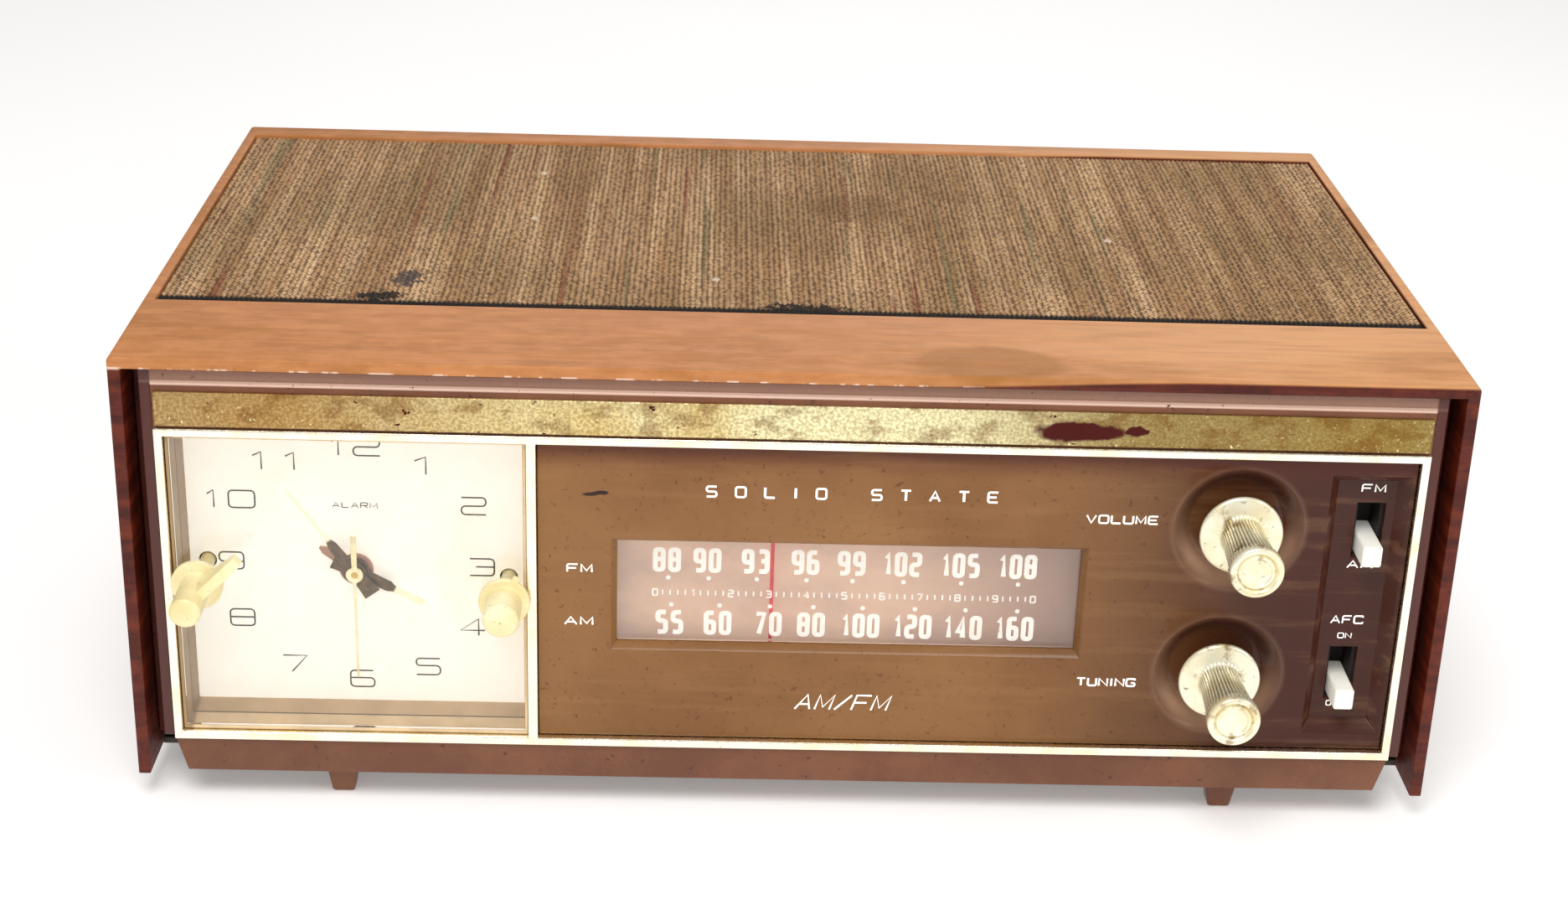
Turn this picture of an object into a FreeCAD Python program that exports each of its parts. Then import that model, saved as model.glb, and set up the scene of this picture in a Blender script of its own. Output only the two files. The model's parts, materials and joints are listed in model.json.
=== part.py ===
import FreeCAD, Part
import math
import os
import re

import Sketcher
from FreeCAD import Placement, Rotation, Vector

# An analogue-dial AM/FM clock radio in a wood-grain cabinet.
# Millimetres. X to the right, Y from the front to the back, Z up.
# The origin is on the surface that the feet stand on, under the middle of the whole radio.
# Every shaft, knob and hand turns about an axis that runs front to back, along Y.

DIMENSIONS = {
    # cabinet: a thin moulded shell of a top and two sides
    "cabinet_width": 320, "cabinet_depth": 190, "cabinet_wall": 3,
    "cabinet_bottom": 7.4, "cabinet_top": 118, "cabinet_front": -84, "cabinet_edge_radius": 1.2,
    "grille_front": -44.5, "grille_back": 98, "ledge_width": 5, "ledge_height": 4.2,
    "ledge_margin": 5.5, "board_thickness": 3, "board_gap": 0.6, "cloth_thickness": 0.9,
    # front moulding, with its gold frame and gold brow strip
    "moulding_front": -83, "moulding_half": 150.5, "moulding_bottom": 8.3, "moulding_top": 111.5,
    "moulding_rear_half": 155, "moulding_rear": -73, "flange_thickness": 2, "flange_gap": 0.3,
    "step_width": 2.9, "step_depth": 1, "lip_slant": 3, "lip_rise": 5,
    "frame_thickness": 1, "frame_half": 150.5, "frame_bottom": 17.5, "frame_top": 100.3,
    "frame_bar": 2, "frame_lip": 0.7, "frame_lip_rear": -80,
    "divider_left": -63.6, "divider_right": -61.3,
    "brow_half": 150, "brow_bottom": 100.9, "brow_top": 109.5, "brow_thickness": 0.8,
    # radio panel
    "panel_front": -82, "panel_thickness": 2.2, "panel_gap": 0.2, "panel_flange": 1.5,
    "dish_radius": 15.8, "dish_floor_radius": 11.5, "dish_depth": 4, "dish_wall": 1.8,
    "dish_floor": 2, "shaft_radius": 3, "bushing_radius": 4.4, "running_gap": 0.08,
    "volume_x": 107, "volume_z": 79.2, "tuning_x": 105.6, "tuning_z": 39.8,
    "window_left": -43.6, "window_right": 71.4, "window_bottom": 43.5, "window_top": 73.5,
    "window_bevel": 1.4, "recess_left": 128, "recess_right": 147.4, "recess_bottom": 24,
    "recess_top": 94, "recess_depth": 3.5, "recess_slope": 2.6,
    "slot_width": 7, "slot_height": 14.6, "band_x": 139.2, "band_slot_bottom": 70.9,
    "afc_x": 137, "afc_slot_bottom": 31.9, "lever_width": 4.8, "lever_height": 5.4,
    "lever_front": -85.1, "lever_rear": -69, "lever_clearance": 0.4,
    # knobs of the radio
    "knob_disc_radius": 10, "knob_disc_front": -85.8, "knob_disc_rear": -84.4,
    "knob_neck_radius": 5, "knob_rim_radius": 6.4, "knob_front": -106, "knob_rim_rear": -102.6,
    "knob_bore_front": -98,
    # dial
    "lens_thickness": 1.2, "dial_plate_front": -73.2, "dial_plate_thickness": 0.8,
    "pointer_x": -4.6, "pointer_width": 0.9, "pointer_front": -75.8, "cord_plane": -69,
    "cord_radius": 0.35, "cord_gap": 0.3, "drum_x": 38, "drum_z": 46, "drum_radius": 29.35,
    "drum_thickness": 3, "drum_flange": 1.2, "post_radius": 2.8, "post_z": 80,
    "left_post_x": -53, "right_post_x": 86,
    "chassis_front": -66, "chassis_thickness": 1.2,
    # clock
    "clock_left": -148.3, "clock_right": -63.8, "clock_bottom": 19.7, "clock_top": 98.1,
    "hub_x": -106, "hub_z": 59.5, "mask_front": -82.4, "mask_wall": 0.7, "dial_face": -71,
    "dial_thickness": 0.8, "crystal_front": -81.9, "crystal_thickness": 1.3,
    "function_x": -142.2, "function_z": 60.6, "sleep_x": -69, "sleep_z": 57.6,
    "selector_shaft_radius": 1.8, "selector_disc_radius": 6.2, "selector_disc_front": -86,
    "selector_disc_rear": -84.6, "function_grip_radius": 3.7, "function_grip_front": -101,
    "wing_reach": 13.5, "wing_thickness": 2.6, "wing_front": -98, "wing_tip_front": -90,
    "wing_turn": 38, "sleep_grip_radius": 4.4, "sleep_grip_front": -96,
    # hands and the tubes that they turn on
    "alarm_hand_front": -72.4, "hour_hand_front": -73.6, "minute_hand_front": -74.8,
    "second_hand_front": -76, "hand_thickness": 0.4, "second_arbor_radius": 0.8,
    "minute_tube_radius": 1.45, "hour_tube_radius": 2.1, "alarm_tube_radius": 2.75,
    # clock movement
    "movement_front": -66, "movement_back": -46, "movement_plate": 1.2, "wheel_thickness": 1.2,
    "alarm_wheel_front": -63.6, "hour_wheel_front": -60.6, "minute_wheel_front": -57,
    "second_wheel_front": -52.6, "motion_distance": 12, "alarm_distance": 15,
    "rotor_distance": 11.5, "setting_shaft_radius": 1.5, "setting_knob_radius": 8,
    "setting_knob_front": 93.4, "setting_knob_rear": 105,
    # base, feet and back
    "base_top": 10.3, "base_thickness": 1.8, "base_rear": 89.6,
    "foot_top_width": 8, "foot_bottom_width": 5.5, "foot_x": 110.5, "front_foot_y": -75.6,
    "rear_foot_y": 80, "cover_front": 90, "cover_thickness": 2.4, "cover_bottom": 10.6,
    "cover_top": 110.6, "cord_inlet_x": 120, "cord_inlet_z": 24, "cord_inlet_radius": 4,
    # speaker, facing up under the grille
    "speaker_x": 8, "speaker_y": 24, "speaker_radius": 51, "speaker_top": 112.8,
    "magnet_radius": 21, "magnet_bottom": 62, "magnet_top": 76,
    # circuit board and what stands on it
    "circuit_board_bottom": 22, "circuit_board_thickness": 1.6,
}

GEARS = {
    # teeth and module of each wheel; two that mesh share a module
    "cannon": (8, 0.75), "minute": (24, 0.75), "minute_pinion": (8, 0.6), "hour": (32, 0.6),
    "alarm": (32, 0.75), "alarm_pinion": (8, 0.75), "second": (36, 0.5), "rotor": (10, 0.5),
}

doc = FreeCAD.newDocument("clock_radio")
sheet = doc.addObject("Spreadsheet::Sheet", "dims")
for row, (name, size) in enumerate(DIMENSIONS.items(), start=1):
    sheet.set(f"A{row}", name)
    sheet.set(f"B{row}", str(size))
    sheet.setAlias(f"B{row}", name)
sheet.recompute()

nodes = []


def bound(text):
    """Point each dimension's name in an expression at its cell."""
    return re.sub(r"[A-Za-z_]\w*", lambda m: f"dims.{m[0]}" if m[0] in DIMENSIONS else m[0], text)


def number(text):
    """The present value of an expression."""
    return float(sheet.evalExpression(bound(text)))


def bind(thing, **sizes):
    for field, text in sizes.items():
        thing.setExpression(field, bound(text))


def place(thing, x="0", y="0", z="0"):
    for axis, text in zip("xyz", (x, y, z)):
        thing.setExpression(f"Placement.Base.{axis}", bound(text))
    return thing


def node(piece, label):
    """Keep a finished sub-part under the label that names its file."""
    piece.Label = label
    nodes.append(piece)
    return piece


# ---- solids from primitives -------------------------------------------------------------


def box(name, x, y, z):
    """A block between two expressions along each axis."""
    piece = doc.addObject("Part::Box", name)
    bind(piece, Length=f"({x[1]}) - ({x[0]})", Width=f"({y[1]}) - ({y[0]})",
         Height=f"({z[1]}) - ({z[0]})")
    return place(piece, x[0], y[0], z[0])


def rod(name, x, z, radius, y):
    """A round bar along Y."""
    piece = doc.addObject("Part::Cylinder", name)
    piece.Placement = Placement(Vector(), Rotation(Vector(1, 0, 0), -90))
    bind(piece, Radius=radius, Height=f"({y[1]}) - ({y[0]})")
    return place(piece, x, y[0], z)


def post(name, x, y, radius, z):
    """A round bar along Z."""
    piece = doc.addObject("Part::Cylinder", name)
    bind(piece, Radius=radius, Height=f"({z[1]}) - ({z[0]})")
    return place(piece, x, y, z[0])


def cone(name, x, z, radii, y):
    """A round bar along Y whose radius changes from front to back."""
    piece = doc.addObject("Part::Cone", name)
    piece.Placement = Placement(Vector(), Rotation(Vector(1, 0, 0), -90))
    bind(piece, Radius1=radii[0], Radius2=radii[1], Height=f"({y[1]}) - ({y[0]})")
    return place(piece, x, y[0], z)


def taper(name, y, front_x, front_z, rear_x, rear_z):
    """A block whose front and rear rectangles differ."""
    piece = doc.addObject("Part::Wedge", name)
    bind(piece, Ymin=y[0], Ymax=y[1], Xmin=front_x[0], Xmax=front_x[1], Zmin=front_z[0],
         Zmax=front_z[1], X2min=rear_x[0], X2max=rear_x[1], Z2min=rear_z[0], Z2max=rear_z[1])
    return piece


def join(name, pieces):
    piece = doc.addObject("Part::MultiFuse", name)
    piece.Shapes = pieces
    return piece


def group(name, pieces):
    """Like pieces kept as one sub-part of separate solids."""
    piece = doc.addObject("Part::Compound", name)
    piece.Links = pieces
    return piece


def cut(name, base, tools):
    piece = doc.addObject("Part::Cut", name)
    piece.Base = base
    piece.Tool = tools[0] if len(tools) == 1 else join(name + "_openings", tools)
    return piece


# ---- bodies from sketches ---------------------------------------------------------------


def new_body(label, x="0", y="0", z="0", turn=0):
    """An empty body, turned clockwise as seen from the front by a number of degrees."""
    body = doc.addObject("PartDesign::Body", label)
    body.Placement = Placement(Vector(), Rotation(Vector(0, 1, 0), turn))
    place(body, x, y, z)
    return node(body, label)


def new_sketch(body, plane, height):
    sketch = body.newObject("Sketcher::SketchObject", f"{body.Name}_sketch")
    support = next(f for f in body.Origin.OriginFeatures if f.Role == plane)
    sketch.AttachmentSupport = [(support, "")]
    sketch.MapMode = "FlatFace"
    bind(sketch, **{"AttachmentOffset.Base.z": height})
    return sketch


def upright(body, y="0"):
    """A sketch of X and Z that faces the front."""
    return new_sketch(body, "XZ_Plane", f"-({y})")


def level(body, z="0"):
    """A sketch of X and Y that faces up."""
    return new_sketch(body, "XY_Plane", z)


def hold(sketch, item, point, place_text):
    """Fix a point of a sketch at two bound distances from the origin."""
    kinds = (("DistanceX", -2), ("DistanceY", -1))
    for (kind, axis), text in zip(kinds, place_text):
        if abs(number(text)) < 1e-9:
            sketch.addConstraint(Sketcher.Constraint("PointOnObject", item, point, axis))
        else:
            index = sketch.addConstraint(
                Sketcher.Constraint(kind, -1, 1, item, point, number(text)))
            sketch.setExpression(f"Constraints[{index}]", bound(text))


def outline(sketch, corners):
    """A closed outline of straight edges through corners given as pairs of expressions."""
    first = sketch.GeometryCount
    points = [Vector(number(a), number(b), 0) for a, b in corners]
    for here, there in zip(points, points[1:] + points[:1]):
        sketch.addGeometry(Part.LineSegment(here, there))
    for i in range(len(corners)):
        after = first + (i + 1) % len(corners)
        sketch.addConstraint(Sketcher.Constraint("Coincident", first + i, 2, after, 1))
        hold(sketch, first + i, 1, corners[i])
    return sketch


def rectangle(sketch, a, b):
    return outline(sketch, [(a[0], b[0]), (a[1], b[0]), (a[1], b[1]), (a[0], b[1])])


def circle(sketch, centre, radius):
    middle = Vector(number(centre[0]), number(centre[1]), 0)
    item = sketch.addGeometry(Part.Circle(middle, Vector(0, 0, 1), number(radius)))
    hold(sketch, item, 3, centre)
    index = sketch.addConstraint(Sketcher.Constraint("Radius", item, number(radius)))
    sketch.setExpression(f"Constraints[{index}]", bound(radius))
    return sketch


def pad(body, sketch, length, backwards=False):
    """Raise a sketch off its plane; backwards runs an upright sketch towards the back."""
    feature = body.newObject("PartDesign::Pad", f"{body.Name}_pad")
    feature.Profile = sketch
    feature.Reversed = backwards
    bind(feature, Length=length)
    return feature


def pocket(body, sketch, depth):
    """Cut a sketch into the body: towards the back if upright, down if level."""
    feature = body.newObject("PartDesign::Pocket", f"{body.Name}_pocket")
    feature.Profile = sketch
    bind(feature, Length=depth)
    return feature


def turned(label, profile, x="0", y="0", z="0", upward=False, turn=0):
    """A body of revolution about Y, or about Z if upward, from (radius, height) corners."""
    body = new_body(label, x, y, z, turn)
    sketch = upright(body) if upward else level(body)
    outline(sketch, profile)
    feature = body.newObject("PartDesign::Revolution", f"{label}_turning")
    feature.Profile = sketch
    feature.ReferenceAxis = (sketch, ["V_Axis"])
    feature.Angle = 360
    return body


def pad_teeth(body, gear, front, thickness):
    """Raise one tooth and repeat it round the Y axis of the body."""
    teeth, module = GEARS[gear]
    pitch_radius = teeth * module / 2
    pitch = math.pi * module
    root, tip = pitch_radius - 1.0 * module, pitch_radius + 0.62 * module
    sketch = upright(body, front)
    outline(sketch, [(f"{root:.4f}", f"-{0.25 * pitch:.4f}"), (f"{tip:.4f}", f"-{0.1 * pitch:.4f}"),
                     (f"{tip:.4f}", f"{0.1 * pitch:.4f}"), (f"{root:.4f}", f"{0.25 * pitch:.4f}")])
    tooth = pad(body, sketch, thickness, backwards=True)
    pattern = body.newObject("PartDesign::PolarPattern", f"{body.Name}_teeth")
    pattern.Originals = [tooth]
    pattern.Axis = (next(f for f in body.Origin.OriginFeatures if f.Role == "Y_Axis"), [""])
    pattern.Angle = 360
    pattern.Occurrences = teeth
    body.Tip = pattern


def root_radius(gear):
    """The radius of a wheel's disc, a little over the feet of its teeth."""
    teeth, module = GEARS[gear]
    return f"{teeth * module / 2 - 0.9 * module:.4f}"


def toothed(label, gear, front, thickness, stem_radius, bore_radius, stem, x, z, turn=0):
    """A wheel and its hollow or solid stem, in one piece."""
    body = new_body(label, x, "0", z, turn)
    disc = circle(upright(body, front), ("0", "0"), root_radius(gear))
    pad(body, disc, thickness, backwards=True)
    pad_teeth(body, gear, front, thickness)
    stem_disc = circle(upright(body, stem[0]), ("0", "0"), stem_radius)
    pad(body, stem_disc, f"({stem[1]}) - ({stem[0]})", backwards=True)
    if bore_radius:
        bore = circle(upright(body, f"({stem[0]}) - 1"), ("0", "0"), bore_radius)
        pocket(body, bore, f"({stem[1]}) - ({stem[0]}) + 2")
    body.Tip = body.Group[-1]
    return body


# ---- cabinet ----------------------------------------------------------------------------

INNER = "cabinet_width / 2 - cabinet_wall"
UNDERSIDE = "cabinet_top - cabinet_wall"
LEDGE_TOP = "cabinet_top - cloth_thickness - board_thickness - 1.1"
LEDGE_BOTTOM = "cabinet_top - cabinet_wall - ledge_height"

shell = new_body("cabinet_shell")
arch = outline(upright(shell, "cabinet_front"), [
    ("-cabinet_width / 2", "cabinet_bottom"), (f"-({INNER})", "cabinet_bottom"),
    (f"-({INNER})", UNDERSIDE), (INNER, UNDERSIDE), (INNER, "cabinet_bottom"),
    ("cabinet_width / 2", "cabinet_bottom"), ("cabinet_width / 2", "cabinet_top"),
    ("-cabinet_width / 2", "cabinet_top")])
pad(shell, arch, "cabinet_depth", backwards=True)
ledge = level(shell, LEDGE_BOTTOM)
rectangle(ledge, (f"-({INNER})", INNER),
          ("grille_front - ledge_margin", "grille_back + ledge_margin"))
rectangle(ledge, (f"-({INNER}) + ledge_width", f"{INNER} - ledge_width"),
          ("grille_front + ledge_width", "grille_back - ledge_width"))
pad(shell, ledge, "ledge_height")
well = rectangle(level(shell, "cabinet_top"), (f"-({INNER})", INNER),
                 ("grille_front", "grille_back"))
pocket(shell, well, f"cabinet_top - ({LEDGE_TOP})")
doc.recompute()


def long_corner(edge):
    """True for the two outer corners of the cabinet where its sides meet its top."""
    low, high = edge.BoundBox.getPoint(0), edge.BoundBox.getPoint(6)
    along = abs(high.y - low.y) > 0.9 * number("cabinet_depth")
    return (along and abs(abs(low.x) - number("cabinet_width / 2")) < 0.01
            and abs(low.z - number("cabinet_top")) < 0.01)


solid = shell.Tip
rounding = shell.newObject("PartDesign::Fillet", "cabinet_corners")
rounding.Base = (solid, [f"Edge{i}" for i, edge in enumerate(solid.Shape.Edges, start=1)
                         if long_corner(edge)])
bind(rounding, Radius="cabinet_edge_radius")

BOARD_X = (f"-({INNER}) + board_gap", f"{INNER} - board_gap")
BOARD_Y = ("grille_front + board_gap", "grille_back - board_gap")
board = new_body("grille_board")
plate = rectangle(level(board, LEDGE_TOP), BOARD_X, BOARD_Y)
circle(plate, ("speaker_x", "speaker_y"), "speaker_radius - 5")
pad(board, plate, "board_thickness")
cloth = new_body("grille_cloth")
pad(cloth, rectangle(level(cloth, f"{LEDGE_TOP} + board_thickness"), BOARD_X, BOARD_Y),
    "cloth_thickness")

# ---- front moulding and its gold trim ---------------------------------------------------

FLANGE_REAR = "moulding_rear + flange_thickness"
OPENING_X = ("-frame_half + frame_bar - frame_lip - 0.1", "frame_half - frame_bar + frame_lip + 0.1")
OPENING_Z = ("frame_bottom + frame_bar - frame_lip - 0.1", "frame_top - frame_bar + frame_lip + 0.1")
THROUGH = ("cabinet_front - 4", f"{FLANGE_REAR} + 2")
HOLLOW_X = ("-moulding_half + 4.5", "moulding_half - 4.5")
HOLLOW_Y = ("moulding_front + 2.2", f"{FLANGE_REAR} + 2")
bezel = join("bezel", [
    taper("bezel_block", ("moulding_front", "moulding_rear"), ("-moulding_half", "moulding_half"),
          ("moulding_bottom", "moulding_top"), ("-moulding_rear_half", "moulding_rear_half"),
          ("moulding_bottom", "moulding_top + 1")),
    box("bezel_step", ("-moulding_half - step_width", "moulding_half + step_width"),
        ("moulding_front + step_depth", "moulding_rear"),
        ("moulding_bottom + lip_rise", "moulding_top + step_width")),
    box("bezel_flange", (f"-({INNER}) + flange_gap", f"{INNER} - flange_gap"),
        ("moulding_rear", FLANGE_REAR),
        ("moulding_bottom + lip_rise", f"{UNDERSIDE} - flange_gap"))])
lip_corners = []
for near, far in (("moulding_half", "moulding_half + 8"), ("-moulding_half - 8", "-moulding_half")):
    corner = doc.addObject("Part::Wedge", "lip_corner")
    slant = ("- lip_slant", "") if near == "moulding_half" else ("", "+ lip_slant")
    bind(corner, Ymin="moulding_bottom - 1", Ymax="frame_bottom", Zmin="-moulding_rear",
         Zmax="2 - moulding_front", Z2min="-moulding_rear", Z2max="2 - moulding_front",
         Xmin=near + slant[0], Xmax=far + slant[1], X2min=near, X2max=far)
    corner.Placement = Placement(Vector(), Rotation(Vector(1, 0, 0), 90))
    lip_corners.append(corner)
node(cut("front_moulding_cut", bezel, lip_corners + [
    box("bezel_opening", OPENING_X, THROUGH, OPENING_Z),
    box("bezel_lower_hollow", HOLLOW_X, HOLLOW_Y,
        ("moulding_bottom + 3.2", "frame_bottom - 1.2")),
    box("bezel_upper_hollow", HOLLOW_X, HOLLOW_Y,
        ("frame_top + 1", "moulding_top - 1.5"))]), "front_moulding")

FRAME_REAR = "cabinet_front + frame_thickness"
INSIDE_Z = ("frame_bottom + frame_bar", "frame_top - frame_bar")
frame = join("frame_blank", [
    box("frame_face", ("-frame_half", "frame_half"), ("cabinet_front", FRAME_REAR),
        ("frame_bottom", "frame_top")),
    box("frame_lining", ("-frame_half + frame_bar - frame_lip", "frame_half - frame_bar + frame_lip"),
        (FRAME_REAR, "frame_lip_rear"),
        ("frame_bottom + frame_bar - frame_lip", "frame_top - frame_bar + frame_lip"))])
node(cut("gold_frame_cut", frame, [
    box("frame_clock_opening", ("-frame_half + frame_bar", "divider_left"), THROUGH, INSIDE_Z),
    box("frame_radio_opening", ("divider_right", "frame_half - frame_bar"), THROUGH, INSIDE_Z)]),
    "gold_frame")
node(box("gold_brow", ("-brow_half", "brow_half"),
         ("moulding_front - brow_thickness", "moulding_front"), ("brow_bottom", "brow_top")),
     "gold_brow_strip")

# ---- radio panel ------------------------------------------------------------------------

PANEL_REAR = "panel_front + panel_thickness"
PANEL_BACK = "panel_front + panel_thickness + panel_flange"
DISH_REAR = "panel_front + dish_depth + dish_floor"
KNOBS = {"volume": ("volume_x", "volume_z"), "tuning": ("tuning_x", "tuning_z")}
SLOTS = {"band": ("band_x", "band_slot_bottom"), "afc": ("afc_x", "afc_slot_bottom")}

blanks = [
    box("panel_face", ("divider_right + panel_gap", "frame_half - frame_bar - panel_gap"),
        ("panel_front", PANEL_REAR), ("frame_bottom + frame_bar + panel_gap",
                                      "frame_top - frame_bar - panel_gap")),
    box("panel_rim", ("divider_right - 1", "frame_half - frame_bar + 0.6"),
        (PANEL_REAR, PANEL_BACK), ("frame_bottom + frame_bar - 0.6", "frame_top - frame_bar + 0.6")),
    box("panel_recess_box", ("recess_left - 1.5", "frame_half - frame_bar + 0.6"),
        (PANEL_REAR, "panel_front + recess_depth + 2"), ("recess_bottom - 1.5", "recess_top + 1.5"))]
openings = [
    taper("panel_window", ("panel_front", PANEL_REAR), ("window_left", "window_right"),
          ("window_bottom", "window_top"),
          ("window_left + window_bevel", "window_right - window_bevel"),
          ("window_bottom + window_bevel", "window_top - window_bevel")),
    box("panel_window_back", ("window_left + window_bevel", "window_right - window_bevel"),
        ("panel_front + 1", f"{PANEL_BACK} + 1"),
        ("window_bottom + window_bevel", "window_top - window_bevel")),
    taper("panel_recess", ("panel_front", "panel_front + recess_depth"),
          ("recess_left", "recess_right"), ("recess_bottom", "recess_top"),
          ("recess_left + recess_slope", "recess_right - recess_slope"),
          ("recess_bottom + recess_slope", "recess_top - recess_slope"))]
for name, (x, z) in KNOBS.items():
    blanks.append(rod(f"panel_{name}_cup", x, z, "dish_radius + dish_wall",
                      (PANEL_REAR, DISH_REAR)))
    openings.append(cone(f"panel_{name}_dish", x, z, ("dish_radius", "dish_floor_radius"),
                         ("panel_front", "panel_front + dish_depth")))
    openings.append(rod(f"panel_{name}_hole", x, z, "bushing_radius + 0.2", THROUGH))
for name, (x, z) in SLOTS.items():
    openings.append(box(f"panel_{name}_slot", (f"{x} - slot_width / 2", f"{x} + slot_width / 2"),
                        THROUGH, (z, f"{z} + slot_height")))
node(cut("radio_panel_cut", join("radio_panel_blank", blanks), openings), "radio_panel")

# ---- dial: clear window, plate, pointer, lamp and cord ----------------------------------

LENS_X = ("window_left + window_bevel + 0.2", "window_right - window_bevel - 0.2")
LENS_Z = ("window_bottom + window_bevel + 0.2", "window_top - window_bevel - 0.2")
node(join("dial_lens_solid", [
    box("lens_face", LENS_X, (f"{PANEL_BACK} - 1", PANEL_BACK), LENS_Z),
    box("lens_rim", ("window_left", "window_right"), (PANEL_BACK, f"{PANEL_BACK} + lens_thickness"),
        ("window_bottom", "window_top"))]), "dial_lens")

POINTER_X = ("pointer_x - pointer_width / 2", "pointer_x + pointer_width / 2")
node(box("dial_plate", ("window_left - 1", "window_right + 1"),
         ("dial_plate_front", "dial_plate_front + dial_plate_thickness"),
         ("window_bottom - 4", "window_top + 2.5")), "dial_plate")
node(join("dial_pointer_solid", [
    box("pointer_needle", POINTER_X, ("pointer_front", "pointer_front + 0.6"),
        ("window_bottom + 1", "window_top + 4.5")),
    box("pointer_bridge", POINTER_X, ("pointer_front", "cord_plane - 1"),
        ("window_top + 3.5", "window_top + 4.5")),
    box("pointer_clip", ("pointer_x - 3", "pointer_x + 3"), ("cord_plane - 2", "cord_plane - 0.8"),
        ("window_top + 3.5", "post_z + 5"))]), "dial_pointer")
node(join("dial_lamp_solid", [
    post("lamp_glass", "window_left - 8", "dial_plate_front", "3.2", ("54", "66")),
    post("lamp_cap", "window_left - 8", "dial_plate_front", "3.6", ("44", "54"))]), "dial_lamp")

front_plate = new_body("chassis_plate")
plate = rectangle(upright(front_plate, "chassis_front"), ("-59", "146"), ("12", "96"))
circle(plate, ("tuning_x", "tuning_z"), "shaft_radius + running_gap")
circle(plate, ("drum_x", "drum_z"), "shaft_radius + running_gap")
pad(front_plate, plate, "chassis_thickness", backwards=True)
for side in ("left", "right"):
    spot = (f"{side}_post_x", "post_z")
    pad(front_plate, circle(upright(front_plate, "cord_plane - 1.2"), spot, "post_radius"),
        "chassis_front - cord_plane + 1.2", backwards=True)
    pad(front_plate, circle(upright(front_plate, "cord_plane - 2"), spot, "post_radius + 1.4"),
        "0.8", backwards=True)

BELT = [("right_post_x", "post_z", "post_radius"), ("left_post_x", "post_z", "post_radius"),
        ("drum_x", "drum_z", "drum_radius"), ("tuning_x", "tuning_z", "shaft_radius")]


def belt_path(wheels):
    """One closed wire round the outside of a ring of circles listed anticlockwise."""
    circles = [(Vector(number(x), 0, number(z)), number(radius) + number("cord_gap + cord_radius"))
               for x, z, radius in wheels]
    runs = []
    for (c1, r1), (c2, r2) in zip(circles, circles[1:] + circles[:1]):
        gap = c2 - c1
        along = math.atan2(gap.z, gap.x)
        normal = along - math.pi / 2 + math.asin((r1 - r2) / gap.Length)
        out = Vector(math.cos(normal), 0, math.sin(normal))
        runs.append((c1 + out * r1, c2 + out * r2))
    edges = []
    for i, (start, end) in enumerate(runs):
        after = runs[(i + 1) % len(runs)][0]
        centre, radius = circles[(i + 1) % len(circles)]
        a, b = end - centre, after - centre
        middle = centre + (a + b).normalize() * radius
        if (a + b).Length < 1e-6 or a.cross(b).y > 0:
            middle = centre - (a + b).normalize() * radius
        edges += [Part.LineSegment(start, end).toShape(), Part.Arc(end, middle, after).toShape()]
    return Part.Wire(edges), runs[0]


loop, (cord_start, cord_next) = belt_path(BELT)
loop.translate(Vector(0, number("cord_plane"), 0))
section = Part.Wire(Part.makeCircle(number("cord_radius"), loop.Vertexes[0].Point,
                                    cord_next - cord_start))
cord = doc.addObject("Part::Feature", "dial_cord_solid")
cord.Shape = loop.makePipeShell([section], True, False)
node(cord, "dial_cord")

turned("dial_drum", [
    ("shaft_radius", "-drum_thickness / 2"), ("drum_radius + drum_flange", "-drum_thickness / 2"),
    ("drum_radius + drum_flange", "-0.8"), ("drum_radius", "-0.7"), ("drum_radius", "0.7"),
    ("drum_radius + drum_flange", "0.8"), ("drum_radius + drum_flange", "drum_thickness / 2"),
    ("shaft_radius", "drum_thickness / 2")],
    "drum_x", "cord_plane", "drum_z")

# ---- tuning capacitor: fixed frame and plates, turning half-round plates ----------------

PLATES = 5
CAP_FRONT = "chassis_front + chassis_thickness"
bars = [box("capacitor_base", ("drum_x - 15", "drum_x + 15"), (CAP_FRONT, f"{CAP_FRONT} + 30"),
            ("drum_z - 17", "drum_z - 15.5"))]
for i, y in enumerate((CAP_FRONT, f"{CAP_FRONT} + 28.8")):
    wall = box(f"capacitor_end_{i}", ("drum_x - 15", "drum_x + 15"), (y, f"{y} + 1.2"),
               ("drum_z - 17", "drum_z + 15"))
    hole = rod(f"capacitor_bearing_{i}", "drum_x", "drum_z", "shaft_radius + running_gap",
               (f"{y} - 1", f"{y} + 3"))
    bars.append(cut(f"capacitor_wall_{i}", wall, [hole]))
bars.append(box("capacitor_stator_bar", ("drum_x - 15", "drum_x - 13.8"),
                (CAP_FRONT, f"{CAP_FRONT} + 30"), ("drum_z - 6", "drum_z + 6")))
for i in range(PLATES):
    y = f"{CAP_FRONT} + {4.5 + 4.6 * i}"
    bars.append(box(f"stator_plate_{i}", ("drum_x - 14", "drum_x - 4.5"), (y, f"{y} + 0.6"),
                    ("drum_z - 11", "drum_z + 11")))
node(join("capacitor_frame_solid", bars), "capacitor_frame")

rotor = new_body("capacitor_rotor", "drum_x", "0", "drum_z")
pad(rotor, circle(upright(rotor, "cord_plane - 2"), ("0", "0"), "shaft_radius"),
    f"{CAP_FRONT} + 30 - cord_plane + 2", backwards=True)
for i in range(PLATES):
    half = outline(upright(rotor, f"{CAP_FRONT} + {6.8 + 4.6 * i}"), [
        ("0", "-12.5"), ("8", "-10"), ("12.2", "-4"), ("12.2", "4"), ("8", "10"), ("0", "12.5")])
    pad(rotor, half, "0.6", backwards=True)

# ---- radio knobs, shafts, volume control and switches -----------------------------------

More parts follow.
